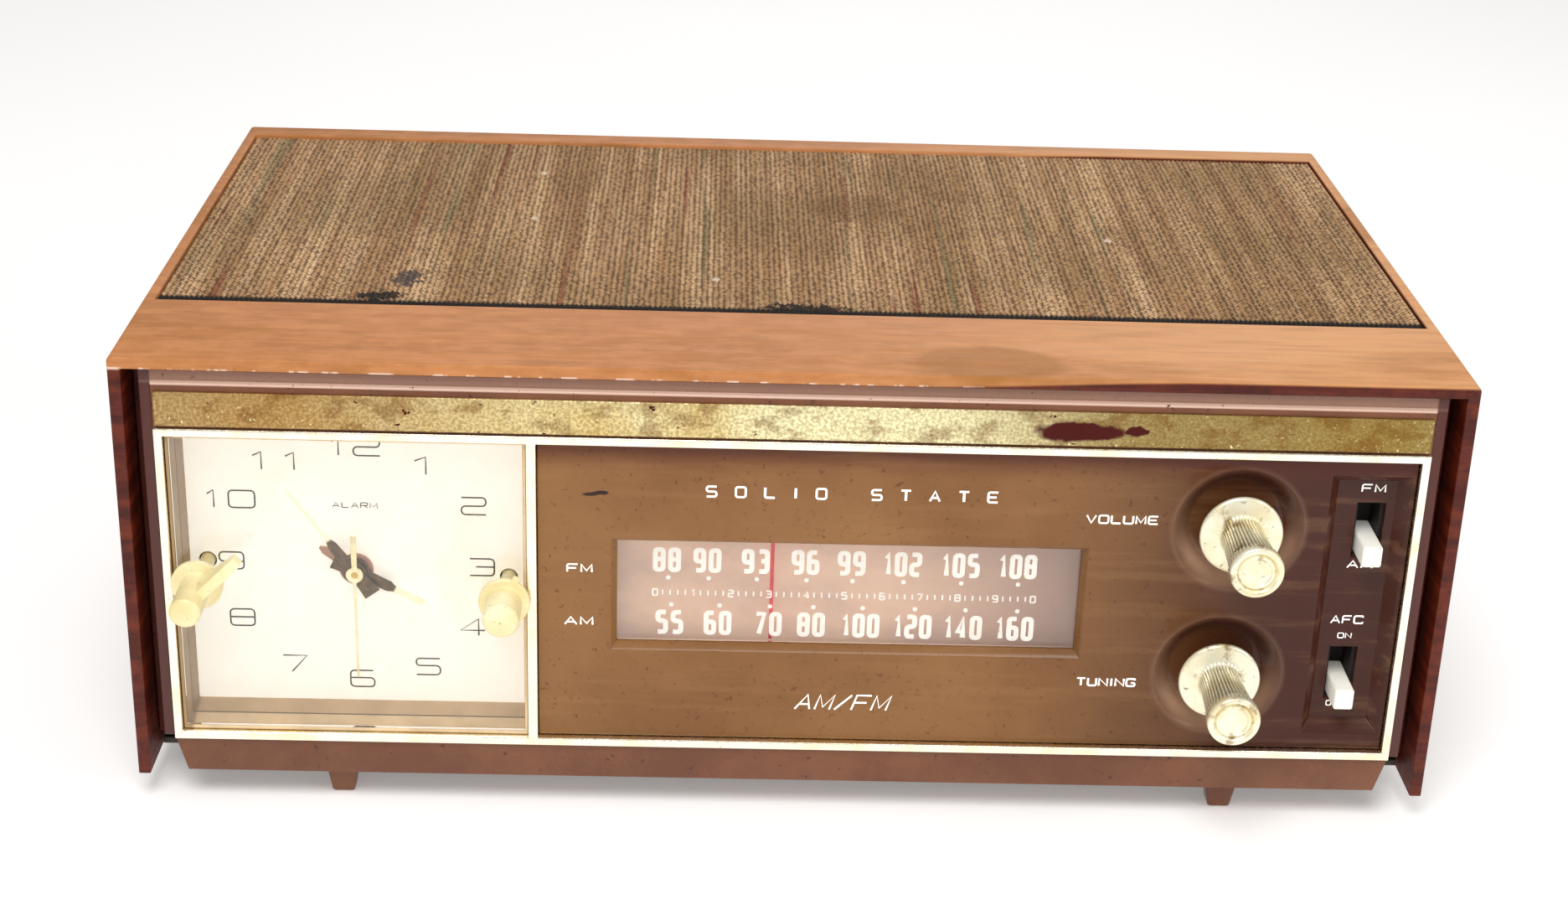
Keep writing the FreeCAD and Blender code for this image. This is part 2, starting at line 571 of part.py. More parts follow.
for name, (x, z) in KNOBS.items():
    turned(f"{name}_knob", [
        ("shaft_radius", "knob_disc_rear"), ("knob_disc_radius", "knob_disc_rear"),
        ("knob_disc_radius", "knob_disc_front"), ("knob_neck_radius", "knob_disc_front - 0.4"),
        ("knob_rim_radius - 0.3", "knob_rim_rear"), ("knob_rim_radius", "knob_rim_rear - 0.4"),
        ("knob_rim_radius", "knob_front + 0.5"), ("knob_rim_radius - 0.5", "knob_front"),
        ("0", "knob_front"), ("0", "knob_bore_front"), ("shaft_radius", "knob_bore_front")],
        x, "0", z)
node(rod("volume_shaft_solid", "volume_x", "volume_z", "shaft_radius",
         ("knob_bore_front", "-68")), "volume_shaft")
node(rod("tuning_shaft_solid", "tuning_x", "tuning_z", "shaft_radius",
         ("knob_bore_front", "chassis_front + 8")), "tuning_shaft")
turned("volume_control", [
    ("shaft_radius + running_gap", "-79.4"), ("bushing_radius", "-79.4"),
    ("bushing_radius", f"{DISH_REAR}"), ("12", f"{DISH_REAR}"), ("12", "chassis_front - 0.2"),
    ("0", "chassis_front - 0.2"), ("0", "-67.8"), ("shaft_radius + running_gap", "-67.8")],
    "volume_x", "0", "volume_z")

SWITCH = ("panel_front + recess_depth + 2", "chassis_front")
switches = []
for name, (x, z) in SLOTS.items():
    lever_z = (f"{z} + lever_clearance", f"{z} + lever_clearance + lever_height")
    case = box(f"{name}_switch_case", (f"{x} - 6", f"{x} + 6"), SWITCH,
               (f"{z} - 6", f"{z} + slot_height + 6"))
    room = box(f"{name}_switch_room", (f"{x} - lever_width / 2 - 0.3", f"{x} + lever_width / 2 + 0.3"),
               (f"{SWITCH[0]} - 1", "lever_rear + 0.5"), (z, f"{z} + slot_height"))
    switches.append(cut(f"{name}_switch_cut", case, [room]))
    node(box(f"{name}_lever_solid", (f"{x} - lever_width / 2", f"{x} + lever_width / 2"),
             ("lever_front", "lever_rear"), lever_z), f"{name}_switch_lever")
node(group("slide_switches_group", switches), "slide_switches")

# ---- clock: mask, crystal, dial and selectors -------------------------------------------

CRYSTAL = ("crystal_front", "crystal_front + crystal_thickness")
WAKE_SHAFTS = {"function": ("function_x", "function_z"), "sleep": ("sleep_x", "sleep_z")}
INNER_RIGHT = "clock_right - mask_wall"
INNER_TOP = "clock_top - mask_wall"
mask = join("mask_blank", [
    box("mask_tunnel", ("clock_left", "clock_right"), ("mask_front", "dial_face"),
        ("clock_bottom", "clock_top")),
    box("mask_rim", ("clock_left - 0.8", "clock_right + 0.8"), (PANEL_REAR, PANEL_BACK),
        ("clock_bottom - 0.8", "clock_top + 0.8"))])
node(cut("clock_mask_cut", mask, [
    taper("mask_inside", (CRYSTAL[1], "dial_face"), ("clock_left + mask_wall", INNER_RIGHT),
          ("clock_bottom + mask_wall", INNER_TOP), ("clock_left + mask_wall + 1.2", INNER_RIGHT),
          ("clock_bottom + mask_wall + 2.2", INNER_TOP)),
    box("mask_mouth", ("clock_left + mask_wall", INNER_RIGHT), ("mask_front - 1", CRYSTAL[1]),
        ("clock_bottom + mask_wall", INNER_TOP))]), "clock_mask")

crystal = new_body("clock_crystal")
pane = rectangle(upright(crystal, CRYSTAL[0]), ("clock_left + mask_wall + 0.1", f"{INNER_RIGHT} - 0.1"),
                 ("clock_bottom + mask_wall + 0.1", f"{INNER_TOP} - 0.1"))
for x, z in WAKE_SHAFTS.values():
    circle(pane, (x, z), "selector_shaft_radius + 0.4")
pad(crystal, pane, "crystal_thickness", backwards=True)

dial = new_body("clock_dial")
face = rectangle(upright(dial, "dial_face"), ("clock_left", "clock_right"),
                 ("clock_bottom", "clock_top"))
circle(face, ("hub_x", "hub_z"), "alarm_tube_radius + 0.3")
for x, z in WAKE_SHAFTS.values():
    circle(face, (x, z), "selector_shaft_radius + 0.4")
pad(dial, face, "dial_thickness", backwards=True)

node(group("selector_switches_group", [
    cut(f"{name}_selector", rod(f"{name}_selector_case", x, z, "6",
                                ("movement_front + 1.4", "movement_front + 13")),
        [rod(f"{name}_selector_bore", x, z, "selector_shaft_radius + running_gap",
             ("movement_front", "movement_front + 9"))])
    for name, (x, z) in WAKE_SHAFTS.items()]), "selector_switches")

SELECTOR_BACK = "movement_front + 8.6"
function_knob = turned("function_knob", [
    ("0", SELECTOR_BACK), ("selector_shaft_radius", SELECTOR_BACK),
    ("selector_shaft_radius", "selector_disc_rear"), ("selector_disc_radius", "selector_disc_rear"),
    ("selector_disc_radius", "selector_disc_front"), ("function_grip_radius", "selector_disc_front"),
    ("function_grip_radius", "function_grip_front + 0.6"),
    ("function_grip_radius - 0.6", "function_grip_front"), ("0", "function_grip_front")],
    "function_x", "0", "function_z", turn=-number("wing_turn"))
wing = outline(level(function_knob, "-wing_thickness / 2"), [
    ("0", "selector_disc_front"), ("wing_reach", "selector_disc_front - 1"),
    ("wing_reach", "wing_tip_front"), ("0", "wing_front")])
pad(function_knob, wing, "wing_thickness")
sleep_knob = turned("sleep_knob", [
    ("0", SELECTOR_BACK), ("selector_shaft_radius", SELECTOR_BACK),
    ("selector_shaft_radius", "selector_disc_rear"), ("selector_disc_radius", "selector_disc_rear"),
    ("selector_disc_radius", "selector_disc_front"), ("sleep_grip_radius", "selector_disc_front"),
    ("sleep_grip_radius", "sleep_grip_front + 0.6"),
    ("sleep_grip_radius - 0.6", "sleep_grip_front"), ("0", "sleep_grip_front")],
    "sleep_x", "0", "sleep_z", turn=-65)
tab = rectangle(level(sleep_knob, "-0.9"), ("0", "selector_disc_radius + 1.2"),
                ("selector_disc_front", "selector_disc_rear"))
pad(sleep_knob, tab, "1.8")

# ---- hands: each drawn pointing to twelve, then turned to the time ----------------------


def hand(label, front, bore, hub_radius, blade, turn):
    """A flat hand with a round hub; blade is half of its outline, from hub to tip to tail."""
    body = new_body(label, "hub_x", "0", "hub_z", turn)
    disc = circle(upright(body, front), ("0", "0"), hub_radius)
    pad(body, disc, "hand_thickness", backwards=True)
    right = [(width, reach) for width, reach in blade]
    left = [(f"-({width})", reach) for width, reach in reversed(blade)]
    pad(body, outline(upright(body, front), right + left), "hand_thickness", backwards=True)
    if bore:
        pocket(body, circle(upright(body, f"{front} - 1"), ("0", "0"), bore), "hand_thickness + 2")
    return body


hand("alarm_hand", "alarm_hand_front", "alarm_tube_radius", "4.2",
     [("1.6", "2"), ("1.1", "9"), ("0.3", "10.5")], -57)
hand("hour_hand", "hour_hand_front", "hour_tube_radius", "3.4",
     [("2.2", "-6"), ("1.6", "0"), ("1.4", "9"), ("0.9", "10"), ("0.9", "18"), ("0.3", "18.6")], 117)
hand("minute_hand", "minute_hand_front", "minute_tube_radius", "2.6",
     [("2.2", "-7"), ("1.5", "0"), ("1.2", "9"), ("0.5", "11"), ("0.3", "27")], -36)
hand("second_hand", "second_hand_front", "second_arbor_radius", "2.1",
     [("0.8", "-10.5"), ("0.6", "0"), ("0.35", "4"), ("0.25", "28")], 180)

# ---- clock movement ---------------------------------------------------------------------

SETTING_X = "hub_x - motion_distance"
ALARM_SET_X = "hub_x + alarm_distance"
ROTOR_Z = "hub_z - rotor_distance"
plates = {"movement_front_plate": ("movement_front", "alarm_tube_radius + running_gap"),
          "movement_back_plate": ("movement_back", "second_arbor_radius + running_gap")}
for label, (y, hub_bore) in plates.items():
    body = new_body(label)
    sheet_metal = rectangle(upright(body, y), ("hub_x - 26", "hub_x + 26"), ("hub_z - 30", "hub_z + 26"))
    circle(sheet_metal, ("hub_x", "hub_z"), hub_bore)
    circle(sheet_metal, (ALARM_SET_X, "hub_z"), "setting_shaft_radius + running_gap")
    if label == "movement_back_plate":
        circle(sheet_metal, (SETTING_X, "hub_z"), "setting_shaft_radius + running_gap")
        circle(sheet_metal, ("hub_x", ROTOR_Z), "1 + running_gap")
    pad(body, sheet_metal, "movement_plate", backwards=True)
    if label == "movement_back_plate":
        pillars = upright(body, "movement_front + movement_plate")
        for i in (-1, 1):
            for j in (-1, 1):
                circle(pillars, (f"hub_x + {22 * i}", f"hub_z + {-2 + 24 * j}"), "2")
        pad(body, pillars, "movement_back - movement_front - movement_plate", backwards=True)

toothed("alarm_wheel", "alarm", "alarm_wheel_front", "wheel_thickness", "alarm_tube_radius",
        "hour_tube_radius + running_gap", ("alarm_hand_front", "alarm_wheel_front + wheel_thickness"),
        "hub_x", "hub_z")
toothed("hour_wheel", "hour", "hour_wheel_front", "wheel_thickness", "hour_tube_radius",
        "minute_tube_radius + running_gap", ("hour_hand_front", "hour_wheel_front + wheel_thickness"),
        "hub_x", "hub_z", turn=3.75)
toothed("cannon_pinion", "cannon", "minute_wheel_front", "2.2", "minute_tube_radius",
        "second_arbor_radius + running_gap", ("minute_hand_front", "minute_wheel_front + 2.2"),
        "hub_x", "hub_z")
toothed("second_wheel", "second", "second_wheel_front", "wheel_thickness", "second_arbor_radius",
        "", ("second_hand_front", "movement_back + movement_plate"), "hub_x", "hub_z")
toothed("rotor_pinion", "rotor", "second_wheel_front - 0.4", "2", "1", "",
        ("second_wheel_front - 0.4", "movement_back + 8"), "hub_x", ROTOR_Z)

minute_wheel = toothed("minute_wheel", "minute", "minute_wheel_front", "wheel_thickness",
                       "setting_shaft_radius", "", ("hour_wheel_front - 1", "setting_knob_front"),
                       SETTING_X, "hub_z", turn=7.5)
pad(minute_wheel, circle(upright(minute_wheel, "hour_wheel_front - 0.4"), ("0", "0"),
                         root_radius("minute_pinion")), "2", backwards=True)
pad_teeth(minute_wheel, "minute_pinion", "hour_wheel_front - 0.4", "2")
toothed("alarm_set_shaft", "alarm_pinion", "alarm_wheel_front - 0.4", "2", "setting_shaft_radius",
        "", ("movement_front", "setting_knob_front"), ALARM_SET_X, "hub_z", turn=22.5)

for label, x in (("time_set_knob", SETTING_X), ("alarm_set_knob", ALARM_SET_X)):
    turned(label, [
        ("0", "setting_knob_front"), ("setting_knob_radius - 3", "setting_knob_front"),
        ("setting_knob_radius - 3", "setting_knob_front + 3"),
        ("setting_knob_radius", "setting_knob_front + 4"), ("setting_knob_radius", "setting_knob_rear"),
        ("0", "setting_knob_rear")], x, "0", "hub_z")

turned("rotor_can", [
    ("1 + running_gap", "movement_back + movement_plate"), ("9", "movement_back + movement_plate"),
    ("9", "movement_back + 14"), ("0", "movement_back + 14"), ("0", "movement_back + 8.4"),
    ("1 + running_gap", "movement_back + 8.4")], "hub_x", "0", ROTOR_Z)
core = box("motor_yoke", ("hub_x - 24", "hub_x + 24"), ("movement_back + 4", "movement_back + 12"),
           ("hub_z - 29", f"{ROTOR_Z} + 9.7"))
node(cut("motor_core_cut", core, [
    rod("core_bore", "hub_x", ROTOR_Z, "9.2", ("movement_back", "movement_back + 20"))]), "motor_core")
node(box("motor_coil_solid", ("hub_x - 14", "hub_x + 14"), ("movement_back + 1.4", "movement_back + 16"),
         ("hub_z - 45", "hub_z - 29.1")), "motor_coil")

# ---- base, feet and back cover ----------------------------------------------------------

base = new_body("base_pan")
floor = rectangle(level(base, "base_top - base_thickness"), (f"-({INNER}) + 0.4", f"{INNER} - 0.4"),
                  (f"{FLANGE_REAR} + 0.2", "base_rear"))
for i in range(-3, 4):
    rectangle(floor, (f"{24 * i} - 8", f"{24 * i} + 8"), ("10", "13"))
    rectangle(floor, (f"{24 * i} - 8", f"{24 * i} + 8"), ("30", "33"))
pad(base, floor, "base_thickness")
standoffs = level(base, "base_top")
for x in (-34, 144):
    for y in (-54, 78):
        circle(standoffs, (f"{x}", f"{y}"), "3")
pad(base, standoffs, "circuit_board_bottom - base_top")

feet = []
for side in (-1, 1):
    for y, top in (("front_foot_y", "moulding_bottom"), ("rear_foot_y", "base_top - base_thickness")):
        foot = doc.addObject("Part::Wedge", "foot")
        bind(foot, Ymin="0", Ymax=top, Xmin="-foot_bottom_width / 2", Xmax="foot_bottom_width / 2",
             Zmin="-foot_bottom_width / 2", Zmax="foot_bottom_width / 2", X2min="-foot_top_width / 2",
             X2max="foot_top_width / 2", Z2min="-foot_top_width / 2", Z2max="foot_top_width / 2")
        foot.Placement = Placement(Vector(), Rotation(Vector(1, 0, 0), 90))
        feet.append(place(foot, f"foot_x * {side}", y, "0"))
node(group("feet_group", feet), "feet")

cover = new_body("back_cover")
panel = rectangle(upright(cover, "cover_front"), (f"-({INNER}) + 0.4", f"{INNER} - 0.4"),
                  ("cover_bottom", "cover_top"))
circle(panel, (SETTING_X, "hub_z"), "setting_shaft_radius + 0.6")
circle(panel, (ALARM_SET_X, "hub_z"), "setting_shaft_radius + 0.6")
circle(panel, ("cord_inlet_x", "cord_inlet_z"), "cord_inlet_radius")
for column in range(12):
    for row in range(3):
        left = f"{-60 + 16 * column}"
        bottom = f"{38 + 22 * row}"
        rectangle(panel, (left, f"{left} + 3"), (bottom, f"{bottom} + 16"))
pad(cover, panel, "cover_thickness", backwards=True)

screws = [rod(f"cover_screw_{i}_{j}", f"{x}", f"{z}", "3", ("cover_front + cover_thickness",
                                                          "cover_front + cover_thickness + 1.6"))
          for i, x in enumerate((-148, -50, 50, 148)) for j, z in enumerate((16, 105))]
node(group("cover_screws_group", screws), "cover_screws")

# ---- speaker ----------------------------------------------------------------------------

turned("speaker_basket", [
    ("speaker_radius - 5", LEDGE_TOP), ("speaker_radius", LEDGE_TOP),
    ("speaker_radius", f"{LEDGE_TOP} - 1.2"), ("speaker_radius - 4", f"{LEDGE_TOP} - 1.2"),
    ("magnet_radius - 4", "magnet_top"), ("7", "magnet_top"), ("7", "magnet_top + 1"),
    ("magnet_radius - 5", "magnet_top + 1"), ("speaker_radius - 5", f"{LEDGE_TOP} - 2")],
    "speaker_x", "speaker_y", "0", upward=True)
turned("speaker_cone", [
    ("speaker_radius - 6", f"{LEDGE_TOP} - 0.6"), ("speaker_radius - 5.2", f"{LEDGE_TOP} - 0.6"),
    ("speaker_radius - 7", f"{LEDGE_TOP} - 3.6"), ("9", "magnet_top + 4"), ("8", "magnet_top + 4"),
    ("8", "magnet_top + 5.5")], "speaker_x", "speaker_y", "0", upward=True)
turned("speaker_magnet", [
    ("0", "magnet_bottom"), ("magnet_radius - 1", "magnet_bottom"),
    ("magnet_radius", "magnet_bottom + 1"), ("magnet_radius", "magnet_top - 1"),
    ("magnet_radius - 1", "magnet_top"), ("0", "magnet_top")],
    "speaker_x", "speaker_y", "0", upward=True)

# ---- circuit board and the parts on it --------------------------------------------------

BOARD_TOP = "circuit_board_bottom + circuit_board_thickness"
node(box("circuit_board_solid", ("-40", "150"), ("-60", "84"), ("circuit_board_bottom", BOARD_TOP)),
     "circuit_board")
node(group("cans_group", [
    box(f"coil_can_{i}", (f"{x}", f"{x + 11}"), (f"{y}", f"{y + 11}"), (BOARD_TOP, f"{BOARD_TOP} + 15"))
    for i, (x, y) in enumerate(((64, -50), (82, -50), (100, -30), (64, -25), (120, -30)))]), "coil_cans")
node(group("electrolytics_group", [
    post(f"electrolytic_{i}", f"{x}", f"{y}", "8", (BOARD_TOP, f"{BOARD_TOP} + 28"))
    for i, (x, y) in enumerate(((80, 20), (100, 20), (80, 42)))]), "electrolytics")
node(join("transformer_solid", [
    box("transformer_core", ("106", "144"), ("48", "74"), (BOARD_TOP, f"{BOARD_TOP} + 34")),
    box("transformer_coil", ("112", "138"), ("40", "82"), (f"{BOARD_TOP} + 7", f"{BOARD_TOP} + 27"))]),
     "power_transformer")
aerial = doc.addObject("Part::Cylinder", "aerial_rod")
aerial.Placement = Placement(Vector(), Rotation(Vector(0, 1, 0), 90))
bind(aerial, Radius="4.5", Height="130")
node(place(aerial, "-60", "82.5", "100"), "ferrite_aerial")

# ---- check and write --------------------------------------------------------------------

doc.recompute()
faults = [f"{thing.Name}: {thing.State}" for thing in doc.Objects
          if "Invalid" in thing.State or "Error" in thing.State]
for piece in nodes:
    if piece.Shape.isNull() or not piece.Shape.isValid():
        faults.append(f"{piece.Label}: shape is null or not valid")
if faults:
    raise RuntimeError("; ".join(faults))

os.makedirs("parts", exist_ok=True)
for piece in nodes:
    piece.Shape.exportStep(f"parts/{piece.Label}.step")
print(len(nodes), "sub-parts written")
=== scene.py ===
import json
import math

import bmesh
import bpy
from mathutils import Matrix, Vector, noise


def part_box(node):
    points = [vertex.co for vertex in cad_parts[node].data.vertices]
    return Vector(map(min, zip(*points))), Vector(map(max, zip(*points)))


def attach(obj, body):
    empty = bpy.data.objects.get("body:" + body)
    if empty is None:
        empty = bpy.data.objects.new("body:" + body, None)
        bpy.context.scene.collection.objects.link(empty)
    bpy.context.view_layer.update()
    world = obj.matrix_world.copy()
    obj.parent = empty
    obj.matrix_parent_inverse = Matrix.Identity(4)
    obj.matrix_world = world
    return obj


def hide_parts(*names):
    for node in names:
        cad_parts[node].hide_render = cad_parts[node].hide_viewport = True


# A table clock radio: wood-print cabinet, cloth grille on top, square clock, slide-rule dial.
# Metres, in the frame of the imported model: X to the right, -Y to the front, Z up.

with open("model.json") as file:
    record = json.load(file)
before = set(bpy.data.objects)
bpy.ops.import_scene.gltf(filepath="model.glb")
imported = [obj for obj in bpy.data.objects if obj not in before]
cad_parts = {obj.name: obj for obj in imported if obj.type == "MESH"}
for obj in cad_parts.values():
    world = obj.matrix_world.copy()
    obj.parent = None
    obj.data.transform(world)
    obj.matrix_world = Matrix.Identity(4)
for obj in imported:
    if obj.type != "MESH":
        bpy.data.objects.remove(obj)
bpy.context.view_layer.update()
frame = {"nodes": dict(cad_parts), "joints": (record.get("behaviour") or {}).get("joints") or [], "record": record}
MM = 0.001

# ---- camera, table and light ------------------------------------------------------------
# The radio stands on a plain pale table top that runs on to the horizon, seen from the
# front and above, under a large soft lamp with two weaker ones at its sides.

camera_data = bpy.data.cameras.new("camera")
camera_data.sensor_width = 36
camera_data.lens = 58.14
camera = bpy.data.objects.new("camera", camera_data)
camera.location = (-0.01964, -0.63052, 0.33421)
camera.rotation_euler = [math.radians(angle) for angle in (66.602, -1.784, -0.980)]
bpy.context.scene.collection.objects.link(camera)
bpy.context.scene.camera = camera

LAMPS = [
    # name, place, size, watts
    ("soft_lamp", (-0.15, -0.70, 1.10), 0.7, 9.5),
    ("right_lamp", (0.95, -0.55, 0.60), 0.6, 3),
    ("back_lamp", (0.1, 0.9, 0.8), 0.9, 2),
]
for name, place, size, watts in LAMPS:
    lamp_data = bpy.data.lights.new(name, "AREA")
    lamp_data.shape = "DISK"
    lamp_data.size = size
    lamp_data.energy = watts
    lamp = bpy.data.objects.new(name, lamp_data)
    lamp.location = place
    lamp.rotation_euler = (Vector((0, 0, 0.05)) - Vector(place)).to_track_quat("-Z", "Y").to_euler()
    bpy.context.scene.collection.objects.link(lamp)

sky = bpy.data.worlds.new("sky")
sky.use_nodes = True
sky.node_tree.nodes["Background"].inputs["Color"].default_value = (1, 0.99, 0.97, 1)
sky.node_tree.nodes["Background"].inputs["Strength"].default_value = 0.42
bpy.context.scene.world = sky
bpy.context.scene.view_settings.view_transform = "Standard"


def feed(tree, socket, value):
    """Link a socket to a socket, or set it."""
    if isinstance(value, bpy.types.NodeSocket):
        tree.links.new(value, socket)
    else:
        socket.default_value = value


def paint(red, green, blue):
    """A colour as mixed on a paint card, 0 to 255, for a shader."""
    return [(part / 255 / 12.92) if part < 10.3 else ((part / 255 + 0.055) / 1.055) ** 2.4
            for part in (red, green, blue)] + [1]


def effect(name, inputs, build):
    """A node group that reads Object coordinates and puts out one mask or height."""
    group = bpy.data.node_groups.new(name, "ShaderNodeTree")
    for label, default in inputs.items():
        kind = "NodeSocketVector" if isinstance(default, tuple) else "NodeSocketFloat"
        group.interface.new_socket(label, in_out="INPUT", socket_type=kind).default_value = default
    group.interface.new_socket("Mask", in_out="OUTPUT", socket_type="NodeSocketFloat")
    given = group.nodes.new("NodeGroupInput").outputs
    place = group.nodes.new("ShaderNodeTexCoord").outputs["Object"]
    mask = build(group, given, place)
    group.links.new(mask, group.nodes.new("NodeGroupOutput").inputs["Mask"])
    return group


def step_node(tree, kind, settings, sockets, output=0):
    """Add one shader node, set it up and feed its inputs."""
    made = tree.nodes.new(f"ShaderNode{kind}")
    for key, value in settings.items():
        setattr(made, key, value)
    for key, value in sockets.items():
        feed(tree, made.inputs[key], value)
    return made.outputs[output]


def build_patches(tree, given, place):
    """Cloudy areas with soft edges, drawn out and moved as asked."""
    stretched = step_node(tree, "VectorMath", {"operation": "MULTIPLY"},
                          {0: place, 1: given["Stretch"]})
    moved = step_node(tree, "VectorMath", {"operation": "ADD"}, {0: stretched, 1: given["Shift"]})
    cloud = step_node(tree, "TexNoise", {}, {"Vector": moved, "Scale": given["Scale"],
                                             "Detail": 5.0, "Roughness": 0.6})
    return step_node(tree, "MapRange", {"interpolation_type": "SMOOTHSTEP"},
                     {"Value": cloud, "From Min": given["From"], "From Max": given["To"]})


patches = effect("patches", {"Scale": 20.0, "From": 0.4, "To": 0.6, "Stretch": (1, 1, 1),
                             "Shift": (0, 0, 0)}, build_patches)


def mask_of(tree, group, **sockets):
    """The mask that a node group puts out with the values given here."""
    made = tree.nodes.new("ShaderNodeGroup")
    made.node_tree = group
    for key, value in sockets.items():
        feed(tree, made.inputs[key], value)
    return made.outputs["Mask"]


def over(tree, mask, under, top):
    """One colour painted over another where the mask is 1."""
    mix = tree.nodes.new("ShaderNodeMix")
    mix.data_type = "RGBA"
    for index, value in ((0, mask), (6, under), (7, top)):
        feed(tree, mix.inputs[index], value)
    return mix.outputs[2]


def finish(name, **constants):
    """A new material, with its node tree and its shader, whose constant values are set here."""
    material = bpy.data.materials.new(name)
    material.use_nodes = True
    shader = material.node_tree.nodes["Principled BSDF"]
    for key, value in constants.items():
        shader.inputs[key.replace("_", " ")].default_value = value
    return material, material.node_tree, shader


def meshed(name, bm, sharp=40):
    """Close a bmesh into a smooth mesh that stays sharp past the given angle."""
    bmesh.ops.recalc_face_normals(bm, faces=bm.faces)
    mesh = bpy.data.meshes.new(name)
    bm.to_mesh(mesh)
    bm.free()
    mesh.shade_smooth()
    mesh.set_sharp_from_angle(angle=math.radians(sharp))
    return mesh


TABLE_HALF = 6
table_bm = bmesh.new()
bmesh.ops.create_grid(table_bm, x_segments=1, y_segments=1, size=TABLE_HALF)
table = bpy.data.objects.new("table_top", meshed("table_top", table_bm))
bpy.context.scene.collection.objects.link(table)
table_paint, tree, shader = finish("table_paint", Roughness=0.6, Emission_Strength=0.25)
shade = mask_of(tree, patches, Scale=3.0, From=0.2, To=0.8)
colour = over(tree, shade, paint(252, 251, 250), paint(249, 248, 247))
feed(tree, shader.inputs["Base Color"], colour)
feed(tree, shader.inputs["Emission Color"], colour)
table.data.materials.append(table_paint)

# ---- cabinet ----------------------------------------------------------------------------
# A moulded shell of a top and two sides with a printed wood grain under lacquer. The top is
# painted a pale tan as if lit from above; the sides keep their dark red-brown.


def build_spot(tree, given, place):
    """One ragged spot round a middle, for stains, scuffs and worn places."""
    ragged = step_node(tree, "TexNoise", {}, {"Vector": place, "Scale": given["Raggedness"],
                                              "Detail": 4.0}, "Color")
    pulled = step_node(tree, "VectorMath", {"operation": "MULTIPLY_ADD"},
                       {0: ragged, 1: given["Pull"], 2: place})
    away = step_node(tree, "VectorMath", {"operation": "SUBTRACT"}, {0: pulled, 1: given["Centre"]})
    scaled = step_node(tree, "VectorMath", {"operation": "DIVIDE"}, {0: away, 1: given["Reach"]})
    length = step_node(tree, "VectorMath", {"operation": "LENGTH"}, {0: scaled}, "Value")
    return step_node(tree, "MapRange", {"interpolation_type": "SMOOTHSTEP"},
                     {"Value": length, "From Min": 1.1, "From Max": 0.8})


spot = effect("spot", {"Centre": (0, 0, 0), "Reach": (0.01, 0.01, 0.01), "Pull": (0, 0, 0),
                       "Raggedness": 300.0}, build_spot)


def ranged(tree, mask, low, high):
    """A mask turned into a value between low and high."""
    return step_node(tree, "MapRange", {}, {"Value": mask, "To Min": low, "To Max": high})


def relief(tree, shader, height, depth):
    """Bumps of the given depth in metres."""
    feed(tree, shader.inputs["Normal"], step_node(
        tree, "Bump", {}, {"Height": height, "Distance": depth, "Strength": 1.0}))


def along(tree, axis):
    """How far a point lies along one axis of the frame."""
    place = step_node(tree, "TexCoord", {}, {}, "Object")
    return step_node(tree, "SeparateXYZ", {}, {0: place}, axis)


def fade(tree, value, start, end, soft=False):
    """A mask that goes from 0 to 1 as a value goes from start to end."""
    curve = "SMOOTHSTEP" if soft else "LINEAR"
    return step_node(tree, "MapRange", {"interpolation_type": curve},
                     {"Value": value, "From Min": start, "From Max": end})


def reckon(tree, operation, *values):
    """One sum on masks or lengths."""
    return step_node(tree, "Math", {"operation": operation}, dict(enumerate(values)))


def placed(name, mesh, material, body, stands_for=()):
    """Link a finished mesh into the scene, hang it on its body and hide the nodes it stands for."""
    piece = bpy.data.objects.new(name, mesh)
    bpy.context.scene.collection.objects.link(piece)
    mesh.materials.append(material)
    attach(piece, body)
    if stands_for:
        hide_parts(*stands_for)
    return piece


def body_of(node):
    """The body that a node rides on."""
    return next(body for body, nodes in frame["record"]["behaviour"]["bodies"].items()
                if node in nodes)


def softened(node, material, width, segments=3, angle=35):
    """A copy of a node with its doubles merged and its sharp edges rounded."""
    bm = bmesh.new()
    bm.from_mesh(frame["nodes"][node].data)
    bmesh.ops.remove_doubles(bm, verts=bm.verts, dist=1e-6)
    bmesh.ops.dissolve_limit(bm, angle_limit=math.radians(0.6), verts=bm.verts, edges=bm.edges)
    sharp = [edge for edge in bm.edges
             if len(edge.link_faces) == 2 and edge.calc_face_angle(0) > math.radians(angle)]
    bmesh.ops.bevel(bm, geom=sharp, offset=width, offset_type="OFFSET", segments=segments,
                    profile=0.5, affect="EDGES", clamp_overlap=True, material=-1)
    bmesh.ops.triangulate(bm, faces=[face for face in bm.faces if len(face.verts) > 4])
    placed(f"{node}_finished", meshed(node, bm), material, body_of(node), [node])


wood, tree, shader = finish("wood_print", Specular_IOR_Level=0.3)
top_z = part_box("cabinet_shell")[1].z
RIM_DROP = 3.1 * MM
LIT_EDGE_CLIMB = (20 * MM, 100 * MM)  # where the painted highlight on the front edge climbs from the rim's foot to the top
PALER_RIGHT = (-20 * MM, 130 * MM)
CHIPPED_RIM = (2.3 * MM, 2.7 * MM)
height = along(tree, "Z")
sideways = along(tree, "X")
# Painted light: the top and a strip along its front edge take the pale tan as if lit from above; the rest keeps
# the dark red-brown.
climb = fade(tree, sideways, *LIT_EDGE_CLIMB, soft=True)
level = ranged(tree, climb, top_z - RIM_DROP, top_z - 0.5 * MM)
above = reckon(tree, "SUBTRACT", height, level)
lit_top = fade(tree, above, -0.2 * MM, 0.4 * MM)
fibres = mask_of(tree, patches, Scale=30.0, From=0.3, To=0.7, Stretch=(1, 14, 14))
pores = mask_of(tree, patches, Scale=420.0, From=0.4, To=0.75, Stretch=(0.12, 1, 1))
